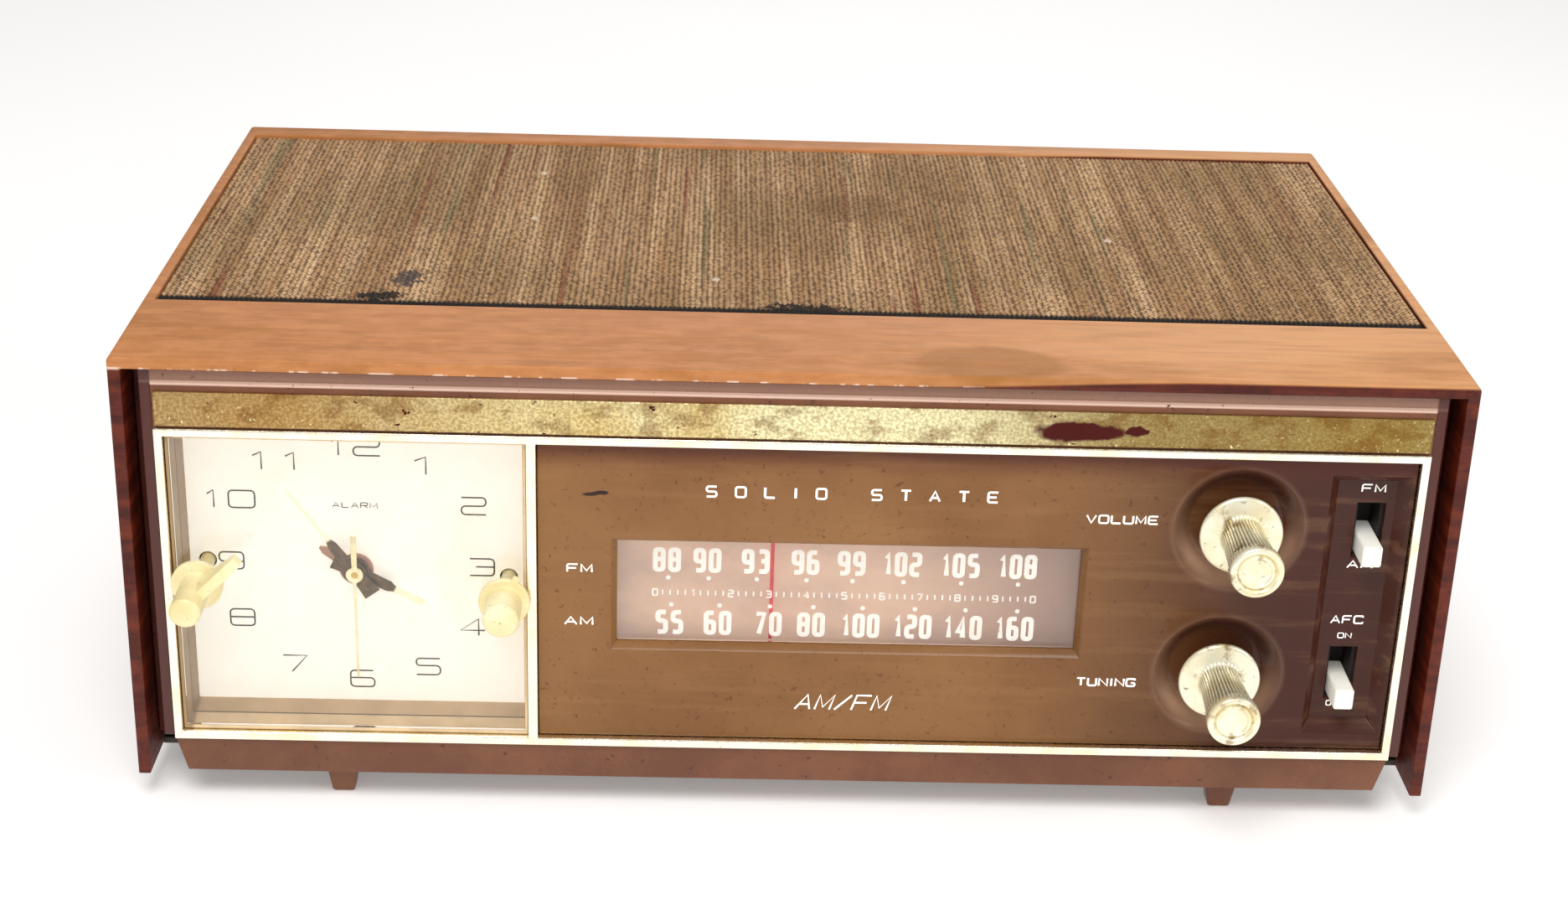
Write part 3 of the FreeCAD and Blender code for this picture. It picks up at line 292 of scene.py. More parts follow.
figure = mask_of(tree, patches, Scale=11.0, From=0.45, To=0.62, Stretch=(0.6, 2, 2), Shift=(2, 0, 1))
tan = over(tree, fibres, paint(180, 116, 62), paint(198, 130, 76))
# The tan grows paler towards the right.
paler_right = fade(tree, sideways, *PALER_RIGHT, soft=True)
tan = over(tree, ranged(tree, paler_right, 0, 0.6), tan, paint(236, 178, 122))
tan = over(tree, ranged(tree, figure, 0, 0.6), tan, paint(164, 104, 40))
mottle = mask_of(tree, patches, Scale=260.0, From=0.4, To=0.62, Stretch=(0.5, 1, 1), Shift=(3, 9, 0))
tan = over(tree, ranged(tree, mottle, 0, 0.3), tan, paint(224, 154, 104))
tan = over(tree, ranged(tree, pores, 0, 0.3), tan, paint(140, 84, 40))
scuff = mask_of(tree, spot, Centre=(0.052, -0.070, top_z), Reach=(0.020, 0.011, 0.02),
                Pull=(0.016, 0.010, 0), Raggedness=90.0)
tan = over(tree, ranged(tree, scuff, 0, 0.55), tan, paint(156, 98, 34))
chipped = fade(tree, height, *(top_z - drop for drop in CHIPPED_RIM))
dents = mask_of(tree, patches, Scale=160.0, From=0.5, To=0.56, Stretch=(1, 0, 0), Shift=(8, 0, 0))
chips = reckon(tree, "MULTIPLY", chipped, dents)
tan = over(tree, ranged(tree, chips, 0, 0.8), tan, paint(255, 226, 206))
smudge = mask_of(tree, patches, Scale=75.0, From=0.68, To=0.76, Shift=(7, 3, 1))
tan = over(tree, ranged(tree, smudge, 0, 0.7), tan, paint(112, 80, 30))
side_fibres = mask_of(tree, patches, Scale=26.0, From=0.3, To=0.7, Stretch=(1, 0.7, 12),
                      Shift=(0, 6, 2))
side_pores = mask_of(tree, patches, Scale=420.0, From=0.42, To=0.75, Stretch=(1, 0.1, 1))
brown = over(tree, side_fibres, paint(72, 14, 4), paint(110, 40, 16))
brown = over(tree, ranged(tree, side_pores, 0, 0.7), brown, paint(48, 10, 5))
feed(tree, shader.inputs["Base Color"], over(tree, lit_top, brown, tan))
feed(tree, shader.inputs["Roughness"], ranged(tree, fibres, 0.4, 0.52))
relief(tree, shader, pores, 0.04 * MM)
softened("cabinet_shell", wood, 0.4 * MM)

# ---- grille board and cloth -------------------------------------------------------------
# A hardboard panel in the cabinet's top with a woven cloth stretched over it, ribbed from
# front to back, its threads shaded by age and darker along its front edge.


def dress(material, *nodes):
    """Give a material to nodes whose shape is already right."""
    for node in nodes:
        mesh = frame["nodes"][node].data
        mesh.materials.clear()
        mesh.materials.append(material)


board, tree, shader = finish("pressed_board")
fluff = mask_of(tree, patches, Scale=500.0, From=0.3, To=0.7)
feed(tree, shader.inputs["Base Color"], over(tree, fluff, paint(74, 48, 32), paint(102, 70, 46)))
feed(tree, shader.inputs["Roughness"], ranged(tree, fluff, 0.75, 0.95))
relief(tree, shader, fluff, 0.08 * MM)
dress(board, "grille_board")

CLOTH_RIBS = 258
CLOTH_ROWS = 30
RIB_HEIGHT = 0.26 * MM
CLOTH_THICKNESS = 0.3 * MM
CLOTH_SPREAD = Vector((0.45, 0.45, 0.75)) * MM
cloth_low, cloth_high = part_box("grille_cloth")
cloth_low, cloth_high = cloth_low - CLOTH_SPREAD, cloth_high + CLOTH_SPREAD
cloth_size = cloth_high - cloth_low
rib_pitch = cloth_size.x / CLOTH_RIBS
bm = bmesh.new()
bmesh.ops.create_grid(bm, x_segments=CLOTH_RIBS * 4, y_segments=CLOTH_ROWS, size=0.5)
bmesh.ops.scale(bm, vec=(cloth_size.x, cloth_size.y, 1), verts=bm.verts)
middle = (cloth_low + cloth_high) / 2
bmesh.ops.translate(bm, vec=(middle.x, middle.y, cloth_high.z - RIB_HEIGHT - CLOTH_THICKNESS / 2),
                    verts=bm.verts)
for vert in bm.verts:
    rib = (vert.co.x - cloth_low.x) / rib_pitch
    edge = min(vert.co.x - cloth_low.x, cloth_high.x - vert.co.x, vert.co.y - cloth_low.y,
               cloth_high.y - vert.co.y)
    uneven = noise.noise(Vector((rib * 0.7, vert.co.y * 25, 0)))
    vert.co.z -= RIB_HEIGHT * math.cos(math.tau * rib) * (0.8 + 0.2 * uneven)
    vert.co.z -= max(0.0, 1 * MM - edge) ** 2 / (3 * MM)
bmesh.ops.solidify(bm, geom=bm.faces, thickness=CLOTH_THICKNESS)

cloth_finish, tree, shader = finish("grille_weave", Specular_IOR_Level=0.15, Sheen_Weight=0.06,
                                    Sheen_Roughness=0.5)
place = step_node(tree, "TexCoord", {}, {}, "Object")
threads = mask_of(tree, patches, Scale=1 / rib_pitch * 0.8, From=0.3, To=0.7, Stretch=(1, 0.02, 0.02))
bands = mask_of(tree, patches, Scale=110.0, From=0.35, To=0.65, Stretch=(1, 0.05, 0.05),
                Shift=(5, 0, 0))
aged = mask_of(tree, patches, Scale=16.0, From=0.4, To=0.65, Shift=(0, 2, 4))
red = mask_of(tree, patches, Scale=260.0, From=0.62, To=0.68, Stretch=(1, 0.02, 0.02), Shift=(9, 0, 0))
green = mask_of(tree, patches, Scale=230.0, From=0.6, To=0.68, Stretch=(1, 0.025, 0.02),
                Shift=(2, 7, 0))
beads = step_node(tree, "TexVoronoi", {"feature": "F1"},
                  {"Vector": step_node(tree, "VectorMath", {"operation": "MULTIPLY"},
                                       {0: place, 1: (1, 1, 0)}), "Scale": 0.85 / rib_pitch,
                   "Randomness": 0.35})
colour = over(tree, threads, paint(190, 144, 98), paint(240, 200, 154))
colour = over(tree, ranged(tree, bands, 0, 0.55), colour, paint(156, 112, 66))
colour = over(tree, ranged(tree, aged, 0, 0.4), colour, paint(138, 114, 66))
colour = over(tree, ranged(tree, red, 0, 0.65), colour, paint(140, 58, 34))
colour = over(tree, ranged(tree, green, 0, 0.5), colour, paint(112, 118, 78))
# Painted shade: the hollows between the beads of the weave are darkened.
weave_shade = fade(tree, beads, 0.34, 0.56)
colour = over(tree, ranged(tree, weave_shade, 0, 0.8), colour, paint(64, 36, 18))
STAINS = [
    # middle, reach, how strong, colour
    ((-0.0908, -0.0165), (0.0036, 0.0065), 0.8, paint(44, 42, 54)),
    ((-0.0962, -0.0305), (0.0065, 0.0032), 0.95, paint(22, 14, 10)),
    ((0.0103, -0.0325), (0.011, 0.0026), 0.95, paint(22, 14, 10)),
    ((0.0253, 0.0490), (0.015, 0.013), 0.35, paint(96, 66, 34)),
    ((0.0550, 0.0620), (0.008, 0.006), 0.3, paint(96, 66, 34)),
]
for number, (spot_middle, reach, strength, shade) in enumerate(STAINS):
    blot = mask_of(tree, spot, Centre=(*spot_middle, cloth_high.z), Reach=(*reach, 0.02),
                   Pull=(0.014, 0.012, 0), Raggedness=420.0 + number)
    colour = over(tree, ranged(tree, blot, 0, strength), colour, shade)
FLECKS = [(-0.0695, 0.0274), (-0.0697, 0.0689), (-0.0198, -0.0186), (0.0860, 0.0200)]
for fleck in FLECKS:
    pale = mask_of(tree, spot, Centre=(*fleck, cloth_high.z), Reach=(0.0011, 0.0014, 0.02))
    colour = over(tree, ranged(tree, pale, 0, 0.8), colour, paint(226, 208, 186))
DARK_FRONT_STRIP = (5.4 * MM, 4.1 * MM)
dark_front = fade(tree, along(tree, "Y"), *(cloth_low.y + inset for inset in DARK_FRONT_STRIP))
colour = over(tree, dark_front, colour, paint(24, 14, 8))
feed(tree, shader.inputs["Base Color"], colour)
feed(tree, shader.inputs["Roughness"], ranged(tree, threads, 0.8, 0.95))
relief(tree, shader, reckon(tree, "SUBTRACT", 1.0, beads), 0.3 * MM)
cloth = placed("grille_cloth_ribbed", meshed("grille_cloth", bm, 80), cloth_finish,
               "cabinet", ["grille_cloth"])

# ---- front moulding ---------------------------------------------------------------------
# The brown surround between the cabinet's sides, moulded in one piece with a step along its
# top and a tapered lip along its foot. It slides in from the front behind the shell's rims.


def moulded(name, main, worn, rough=0.4, grain=2500.0, depth=0.03 * MM, **constants):
    """Moulded plastic: a slow mottle, fine specks of dirt and a faint moulded grain."""
    material, tree, shader = finish(name, **constants)
    slow = mask_of(tree, patches, Scale=45.0, From=0.35, To=0.7)
    fine = mask_of(tree, patches, Scale=900.0, From=0.63, To=0.75, Shift=(3, 1, 2))
    colour = over(tree, slow, main, worn)
    dirt = [part * 0.35 for part in main[:3]] + [1]
    feed(tree, shader.inputs["Base Color"], over(tree, fine, colour, dirt))
    feed(tree, shader.inputs["Roughness"], ranged(tree, slow, rough, rough + 0.12))
    relief(tree, shader, mask_of(tree, patches, Scale=grain, From=0.2, To=0.8), depth)
    return material


brown_plastic = moulded("brown_plastic", paint(108, 58, 30), paint(126, 76, 44), rough=0.22)
brown_with_painted_light, tree, shader = finish("brown_with_painted_light")
cloudy = mask_of(tree, patches, Scale=45.0, From=0.35, To=0.7)
dirty = mask_of(tree, patches, Scale=500.0, From=0.63, To=0.72, Shift=(3, 1, 2))
height = along(tree, "Z")
step_edge_z = 111.4 * MM
SHADED_FLANGE = (150.4 * MM, 151 * MM)
# Painted highlight: a pale line along the step's rounded edge, and the step above it painted lighter as if lit
# from above.
from_edge = reckon(tree, "ABSOLUTE", reckon(tree, "SUBTRACT", height, step_edge_z))
rub_and_highlight = fade(tree, from_edge, 0.55 * MM, 0.25 * MM)
lit_step = fade(tree, height, step_edge_z, step_edge_z + 0.8 * MM)
colour = over(tree, cloudy, paint(108, 58, 30), paint(126, 76, 44))
colour = over(tree, ranged(tree, lit_step, 0, 0.5), colour, paint(184, 142, 122))
colour = over(tree, ranged(tree, rub_and_highlight, 0, 0.75), colour, paint(240, 206, 186))
# Painted shade: the flange at each end, recessed behind the shell's rims, is darkened.
outward = reckon(tree, "ABSOLUTE", along(tree, "X"))
flange_shade = fade(tree, outward, *SHADED_FLANGE)
colour = over(tree, ranged(tree, flange_shade, 0, 0.9), colour, paint(76, 16, 6))
feed(tree, shader.inputs["Base Color"], over(tree, dirty, colour, paint(62, 26, 12)))
feed(tree, shader.inputs["Roughness"], ranged(tree, cloudy, 0.22, 0.34))
relief(tree, shader, mask_of(tree, patches, Scale=2500.0, From=0.2, To=0.8), 0.03 * MM)
softened("front_moulding", brown_with_painted_light, 0.5 * MM)
softened("feet", brown_plastic, 0.8 * MM, segments=4)

# ---- gold frame and brow strip ----------------------------------------------------------
# Thin plated bars round the clock and the radio panel, and a plated strip above them that
# has lost its lacquer: it is speckled with pits and worn through to the brown moulding.


def metal(name, main, tarnish, rough=0.3, spots=0.66, stretch=(1, 1, 1), **constants):
    """Bare or plated metal with drawn streaks, slow tarnish and small dark pits."""
    material, tree, shader = finish(name, Metallic=1.0, **constants)
    slow = mask_of(tree, patches, Scale=60.0, From=0.4, To=0.75, Shift=(1, 5, 2))
    pits = mask_of(tree, patches, Scale=700.0, From=spots, To=spots + 0.05, Shift=(4, 2, 0))
    drawn = mask_of(tree, patches, Scale=800.0, From=0.3, To=0.7, Stretch=stretch)
    colour = over(tree, slow, main, tarnish)
    dark = [part * 0.12 for part in tarnish[:3]] + [1]
    feed(tree, shader.inputs["Base Color"], over(tree, pits, colour, dark))
    feed(tree, shader.inputs["Roughness"], ranged(tree, drawn, rough - 0.06, rough + 0.14))
    relief(tree, shader, drawn, 0.01 * MM)
    return material


gold_plate = metal("gold_plate", paint(255, 252, 236), paint(252, 236, 192), rough=0.2, spots=0.69)
softened("gold_frame", gold_plate, 0.3 * MM)

brow_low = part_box("gold_brow_strip")[0]
worn_gold, tree, shader = finish("worn_gold", Specular_IOR_Level=0.15)
bright_runs = mask_of(tree, patches, Scale=9.0, From=0.35, To=0.62, Stretch=(1, 0.3, 1), Shift=(4, 0, 2))
grains = mask_of(tree, patches, Scale=1300.0, From=0.42, To=0.62)
sparks = mask_of(tree, patches, Scale=900.0, From=0.64, To=0.67, Shift=(6, 1, 3))
holes = mask_of(tree, patches, Scale=420.0, From=0.67, To=0.69, Stretch=(0.6, 1, 1), Shift=(2, 8, 3))
DULL_RIGHT, DIM_LEFT = (25 * MM, 85 * MM), (-50 * MM, -130 * MM)
STRIP_FOOT = (104.5 * MM, 101.2 * MM)
sideways = along(tree, "X")
dull = fade(tree, sideways, *DULL_RIGHT, soft=True)
dim_left = fade(tree, sideways, *DIM_LEFT, soft=True)
foot = fade(tree, along(tree, "Z"), *STRIP_FOOT)
colour = over(tree, bright_runs, paint(218, 186, 112), paint(255, 246, 196))
colour = over(tree, ranged(tree, dim_left, 0, 0.8), colour, paint(172, 126, 62))
colour = over(tree, ranged(tree, dull, 0, 0.85), colour, paint(140, 112, 40))
colour = over(tree, ranged(tree, grains, 0, 0.45), colour, paint(132, 92, 34))
blotches = mask_of(tree, patches, Scale=170.0, From=0.5, To=0.62, Stretch=(0.7, 1, 1), Shift=(1, 1, 7))
colour = over(tree, ranged(tree, blotches, 0, 0.5), colour, paint(122, 76, 20))
lit_sparks = reckon(tree, "MULTIPLY", sparks, ranged(tree, foot, 0.35, 1))
colour = over(tree, lit_sparks, colour, paint(255, 246, 186))
bald = mask_of(tree, spot, Centre=(0.0717, brow_low.y, 0.1064), Reach=(0.0098, 0.02, 0.0024),
               Pull=(0.010, 0, 0.004), Raggedness=150.0)
small_bald = mask_of(tree, spot, Centre=(0.0818, brow_low.y, 0.1064), Reach=(0.0032, 0.02, 0.0012),
                     Pull=(0.004, 0, 0.003), Raggedness=350.0)
bare = reckon(tree, "MAXIMUM", bald, small_bald)
bare = reckon(tree, "MAXIMUM", bare, holes)
feed(tree, shader.inputs["Base Color"], over(tree, bare, colour, paint(74, 12, 6)))
feed(tree, shader.inputs["Metallic"], ranged(tree, bare, 0.75, 0.0))
feed(tree, shader.inputs["Roughness"], ranged(tree, grains, 0.3, 0.5))
relief(tree, shader, grains, 0.06 * MM)
softened("gold_brow_strip", worn_gold, 0.2 * MM)

# ---- radio panel ------------------------------------------------------------------------
# A brown moulding with a bevelled dial window, a dished well behind each knob and a sloped
# recess for the switches. Its legends are printed in white.

panel_finish, tree, shader = finish("panel_plastic", Specular_IOR_Level=0.2, Coat_Weight=0.3,
                                    Coat_Roughness=0.1)
slow = mask_of(tree, patches, Scale=22.0, From=0.3, To=0.7)
fine = mask_of(tree, patches, Scale=700.0, From=0.6, To=0.72, Shift=(1, 0, 5))
RIGHT_SHADE_X, TOP_SHADE_Z = (40 * MM, 130 * MM), (90 * MM, 98.5 * MM)
# Painted shade: the panel darkens towards its right end and in a band under the frame's top bar.
right = fade(tree, along(tree, "X"), *RIGHT_SHADE_X, soft=True)
top_shade = fade(tree, along(tree, "Z"), *TOP_SHADE_Z, soft=True)
colour = over(tree, slow, paint(128, 84, 42), paint(146, 102, 58))
colour = over(tree, ranged(tree, right, 0, 0.95), colour, paint(56, 6, 0))
colour = over(tree, ranged(tree, top_shade, 0, 0.8), colour, paint(80, 16, 0))
rub_and_highlight = mask_of(tree, patches, Scale=160.0, From=0.5, To=0.66, Stretch=(0.12, 1, 1.4), Shift=(0, 4, 6))
colour = over(tree, ranged(tree, rub_and_highlight, 0, 0.14), colour, paint(172, 128, 84))
colour = over(tree, ranged(tree, fine, 0, 0.6), colour, paint(80, 26, 8))
scratch = mask_of(tree, spot, Centre=(-0.045, -0.082, 0.0862), Reach=(0.0032, 0.01, 0.0006),
                  Pull=(0.004, 0, 0.002), Raggedness=300.0)
colour = over(tree, scratch, colour, paint(48, 20, 12))
panel_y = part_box("radio_panel")[0].y
WELL_RADIUS, REST_RADIUS = 15.8 * MM, 14.6 * MM
# Painted light in each knob's well: a highlight on the lower slope, which faces the lamp, and shade on the upper
# slope under the rim.
WELL_LIGHT_AND_SHADE = [
    # how far it stands up the well, how strong, colour
    (2.2 * MM, 0.75, paint(206, 164, 134)),
    (-2.2 * MM, 0.8, paint(52, 8, 2)),
]
for joint in frame["joints"]:
    if joint["name"] in ("volume_turn", "tuning_turn"):
        x, _, z = joint["pos_m"]
        well = mask_of(tree, spot, Centre=(x, panel_y, z), Reach=(WELL_RADIUS, 0.02, WELL_RADIUS))
        for lift, strength, shade in WELL_LIGHT_AND_SHADE:
            rest = mask_of(tree, spot, Centre=(x, panel_y, z + lift),
                           Reach=(REST_RADIUS, 0.02, REST_RADIUS))
            well_light = reckon(tree, "MULTIPLY", well, ranged(tree, rest, 1, 0))
            colour = over(tree, ranged(tree, well_light, 0, strength), colour, shade)
feed(tree, shader.inputs["Base Color"], colour)
feed(tree, shader.inputs["Roughness"], ranged(tree, slow, 0.36, 0.5))
relief(tree, shader, mask_of(tree, patches, Scale=2200.0, From=0.2, To=0.8), 0.02 * MM)
softened("radio_panel", panel_finish, 0.45 * MM, angle=20)


GLYPHS = {
    # strokes of each figure and letter in a box 1 wide and 1 tall; the second list is closed
    "0": ([], [[(0, 0), (0, 1), (1, 1), (1, 0)]]),
    "1": ([[(0.25, 0.78), (0.7, 1), (0.7, 0)]], []),
    "2": ([[(0, 1), (1, 1), (1, 0.5), (0, 0.5), (0, 0), (1, 0)]], []),
    "3": ([[(0, 1), (1, 1), (1, 0), (0, 0)], [(0.25, 0.52), (1, 0.52)]], []),
    "4": ([[(0.75, 0), (0.75, 1), (0, 0.3), (1, 0.3)]], []),
    "5": ([[(1, 1), (0, 1), (0, 0.56), (1, 0.56), (1, 0), (0, 0)]], []),
    "6": ([[(0.95, 1), (0, 1), (0, 0), (1, 0), (1, 0.55), (0, 0.55)]], []),
    "7": ([[(0, 1), (1, 1), (0.35, 0)]], []),
    "8": ([[(0, 0.52), (1, 0.52)]], [[(0, 0), (0, 1), (1, 1), (1, 0)]]),
    "9": ([[(0.05, 0), (1, 0), (1, 1), (0, 1), (0, 0.45), (1, 0.45)]], []),
    "A": ([[(0, 0), (0.5, 1), (1, 0)], [(0.2, 0.34), (0.8, 0.34)]], []),
    "C": ([[(1, 0.8), (1, 1), (0, 1), (0, 0), (1, 0), (1, 0.2)]], []),
    "D": ([], [[(0, 0), (0, 1), (1, 1), (1, 0)]]),
    "E": ([[(1, 1), (0, 1), (0, 0), (1, 0)], [(0, 0.5), (0.85, 0.5)]], []),
    "F": ([[(1, 1), (0, 1), (0, 0)], [(0, 0.5), (0.85, 0.5)]], []),
    "G": ([[(1, 0.8), (1, 1), (0, 1), (0, 0), (1, 0), (1, 0.45), (0.55, 0.45)]], []),
    "I": ([[(0.5, 0), (0.5, 1)]], []),
    "L": ([[(0, 1), (0, 0), (1, 0)]], []),
    "M": ([[(0, 0), (0, 1), (0.5, 0.15), (1, 1), (1, 0)]], []),
    "N": ([[(0, 0), (0, 1), (1, 0), (1, 1)]], []),
    "O": ([], [[(0, 0), (0, 1), (1, 1), (1, 0)]]),
    "R": ([[(0, 0), (0, 1), (1, 1), (1, 0.48), (0, 0.48)], [(0.5, 0.48), (1, 0)]], []),
    "S": ([[(1, 1), (0, 1), (0, 0.5), (1, 0.5), (1, 0), (0, 0)]], []),
    "T": ([[(0, 1), (1, 1)], [(0.5, 1), (0.5, 0)]], []),
    "U": ([[(0, 1), (0, 0), (1, 0), (1, 1)]], []),
    "V": ([[(0, 1), (0.5, 0), (1, 1)]], []),
    "/": ([[(0, 0), (1, 1)]], []),
    " ": ([], []),
}
NARROW = {"1": 0.55, "I": 0.3, " ": 0.7, "/": 0.8}
INK_THICKNESS = 0.06 * MM


def rounded(points, radius, closed):
    """A path whose square corners are turned into short arcs; sloping ones stay sharp."""
    path = []
    for i, corner in enumerate(points):
        before, after = points[i - 1], points[(i + 1) % len(points)]
        back, ahead = before - corner, after - corner
        reach = min(radius, back.length * 0.45, ahead.length * 0.45)
        if (not closed and i in (0, len(points) - 1)) or abs(back.dot(ahead)) > 1e-12:
            path.append(corner)
            continue
        back, ahead = back.normalized() * reach, ahead.normalized() * reach
        for part in range(5):
            turn = math.radians(22.5 * part)
            path.append(corner + back * (1 - math.sin(turn)) + ahead * (1 - math.cos(turn)))
    return path


def add_words(bm, words, x, y, z, tall, wide, stroke, gap=0.35, slant=0.0, corner=0.22):
    """Print words in drawn strokes on a plane that faces the front, with their middle at x, z."""
    widths = [NARROW.get(letter, 1.0) for letter in words]
    unit = (wide - stroke) / (sum(widths) + gap * (len(words) - 1))
    curve = bpy.data.curves.new("words", "CURVE")
    curve.dimensions = "3D"
    curve.bevel_depth = stroke / 2
    curve.bevel_resolution = 1
    curve.use_fill_caps = True
    inner_tall = tall - stroke
    left = x - (wide - stroke) / 2
    for letter, share in zip(words, widths):
        for closed, strokes in zip((False, True), GLYPHS[letter]):
            for points in strokes:
                spots = [Vector((left + px * share * unit + slant * (pz - 0.5) * inner_tall, 0,
                                 z + (pz - 0.5) * inner_tall)) for px, pz in points]
                path = rounded(spots, corner * min(unit, inner_tall), closed)
                line = curve.splines.new("POLY")
                line.points.add(len(path) - 1)
                for point, spot_at in zip(line.points, path):
                    point.co = (*spot_at, 1)
                line.use_cyclic_u = closed
        left += (share + gap) * unit
    holder = bpy.data.objects.new("words", curve)
    bpy.context.scene.collection.objects.link(holder)
    bpy.context.view_layer.update()
    solid = holder.evaluated_get(bpy.context.evaluated_depsgraph_get())
    mesh = bpy.data.meshes.new_from_object(solid)
    bpy.data.objects.remove(holder)
    mesh.transform(Matrix.Translation((0, y, 0)) @ Matrix.Diagonal((1, INK_THICKNESS / stroke, 1, 1)))
    bm.from_mesh(mesh)
    bpy.data.meshes.remove(mesh)


def add_block(bm, x, y, z, wide, deep, tall):
    """A small rectangular block round the middle x, y, z."""
    bmesh.ops.create_cube(bm, size=1, matrix=Matrix.Translation((x, y, z)) @
                          Matrix.Diagonal((wide, deep, tall, 1)))


def add_dot(bm, x, y, z, radius):
    """A small printed dot on a plane that faces the front."""
    bmesh.ops.create_cone(bm, cap_ends=True, segments=16, radius1=radius, radius2=radius,
                          depth=INK_THICKNESS, matrix=Matrix.Translation((x, y, z)) @
                          Matrix.Rotation(math.radians(90), 4, "X"))


# Painted glow: the white print carries an emission that brightens it past what the lamps give.
glowing_white_ink = moulded("glowing_white_ink", paint(255, 252, 246), paint(244, 238, 226), rough=0.5,
                    Emission_Color=(1, 0.98, 0.94, 1), Emission_Strength=0.45)
INK_Y = panel_y - INK_THICKNESS / 2
LABELS = [
    # words, x, z, height, width, stroke, slant (mm)
    ("FM", -51.1, 65.5, 2.5, 6.4, 0.5, 0), ("AM", -51.3, 51.3, 2.5, 7.2, 0.5, 0),
    ("AM/FM", 13.8, 30.1, 4.6, 23.0, 0.55, 0.35), ("VOLUME", 78.7, 81.3, 2.5, 17.6, 0.5, 0),
    ("TUNING", 78.3, 37.2, 2.5, 14.8, 0.5, 0), ("SOLID STATE", 13.8, 86.4, 3.2, 70.0, 0.6, 0),
]
bm = bmesh.new()
for words, x, z, tall, wide, stroke, slant in LABELS:
    add_words(bm, words, x * MM, INK_Y, z * MM, tall * MM, wide * MM, stroke * MM, slant=slant,
              gap=2.0 if words == "SOLID STATE" else 0.35)
placed("panel_legends", meshed("panel_legends", bm), glowing_white_ink, "cabinet")

RECESS_Y = INK_Y + 3.5 * MM
SWITCH_LABELS = [
    # words, x, z, height, width (mm)
    ("FM", 139.2, 89.4, 2.3, 6.0), ("AM", 138.2, 69.1, 2.3, 6.4), ("AFC", 136.9, 54.0, 2.4, 8.2),
    ("ON", 136.8, 49.6, 1.6, 3.6), ("OFF", 136.6, 30.7, 1.6, 4.6),
]
STROKE_SHARE = 0.18
bm = bmesh.new()
for words, x, z, tall, wide in SWITCH_LABELS:
    add_words(bm, words, x * MM, RECESS_Y, z * MM, tall * MM, wide * MM, tall * STROKE_SHARE * MM)
placed("switch_legends", meshed("switch_legends", bm), glowing_white_ink, "cabinet")

# ---- dial window ------------------------------------------------------------------------
# A clear moulded lens with the station numbers printed on its back, a plate behind it with
# a painted glow, and a red pointer that slides between the two.

clear, tree, shader = finish("clear_plastic", IOR=1.49, Transmission_Weight=1.0)
haze = mask_of(tree, patches, Scale=300.0, From=0.45, To=0.8)
feed(tree, shader.inputs["Base Color"], over(tree, haze, paint(255, 254, 251), paint(250, 246, 238)))
feed(tree, shader.inputs["Roughness"], ranged(tree, haze, 0.02, 0.10))
dress(clear, "dial_lens", "clock_crystal")

UNLIT = paint(0, 0, 0)


def glow_in_front(tree, shader, colour, node):
    """A painted glow, put in the emission, that shows on the front face of a plate and nowhere else."""
    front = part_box(node)[0].y
    lit = fade(tree, along(tree, "Y"), front + 0.3 * MM, front + 0.1 * MM)
    feed(tree, shader.inputs["Emission Color"], over(tree, lit, UNLIT, colour))


plate_finish, tree, shader = finish("plate_painted_glow", Emission_Strength=0.45)
SHADED_RIGHT = (20 * MM, 75 * MM)
across = fade(tree, along(tree, "X"), *SHADED_RIGHT, soft=True)
smoky = mask_of(tree, patches, Scale=30.0, From=0.4, To=0.7, Stretch=(1, 1, 2))
colour = over(tree, across, paint(214, 180, 158), paint(158, 126, 112))
colour = over(tree, ranged(tree, smoky, 0, 0.4), colour, paint(158, 132, 128))
feed(tree, shader.inputs["Base Color"], colour)
glow_in_front(tree, shader, colour, "dial_plate")
feed(tree, shader.inputs["Roughness"], ranged(tree, smoky, 0.4, 0.55))
relief(tree, shader, smoky, 0.03 * MM)
dress(plate_finish, "dial_plate")

NUMBER_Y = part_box("dial_lens")[1].y + 0.04 * MM
FM_MARKS = {"88": -30.2, "90": -20.4, "93": -8.7, "96": 3.4, "99": 14.6, "102": 27.0,
            "105": 41.1, "108": 55.0}
AM_MARKS = {"55": -29.4, "60": -17.6, "70": -5.3, "80": 5.3, "100": 17.4, "120": 30.2,
            "140": 42.6, "160": 55.3}
bm = bmesh.new()
for marks, z, dot_z in ((FM_MARKS, 66.2, 61.4), (AM_MARKS, 49.3, 54.1)):
    for words, x in marks.items():
        add_words(bm, words, x * MM, NUMBER_Y, z * MM, 6.8 * MM,
                  (3.5 * len(words) - (0.9 if "1" in words else 0)) * MM, 1.4 * MM, gap=0.95,
                  corner=0.35)
        add_dot(bm, (x + 0.4) * MM, NUMBER_Y, dot_z * MM, 0.55 * MM)
SCALE_STEPS, TICKS_PER_STEP = 10, 5
scale_left, scale_right, scale_z = -33.0 * MM, 59.3 * MM, 57.4 * MM
for step in range(SCALE_STEPS * TICKS_PER_STEP + 1):
    x = scale_left + (scale_right - scale_left) * step / (SCALE_STEPS * TICKS_PER_STEP)
    if step % TICKS_PER_STEP:
        add_block(bm, x, NUMBER_Y, scale_z, 0.35 * MM, INK_THICKNESS, 1.3 * MM)
    else:
        figure = str(step // TICKS_PER_STEP % SCALE_STEPS)
        add_words(bm, figure, x, NUMBER_Y, scale_z, 2.1 * MM, 1.6 * MM, 0.42 * MM)
placed("dial_numbers", meshed("dial_numbers", bm), glowing_white_ink, "cabinet")

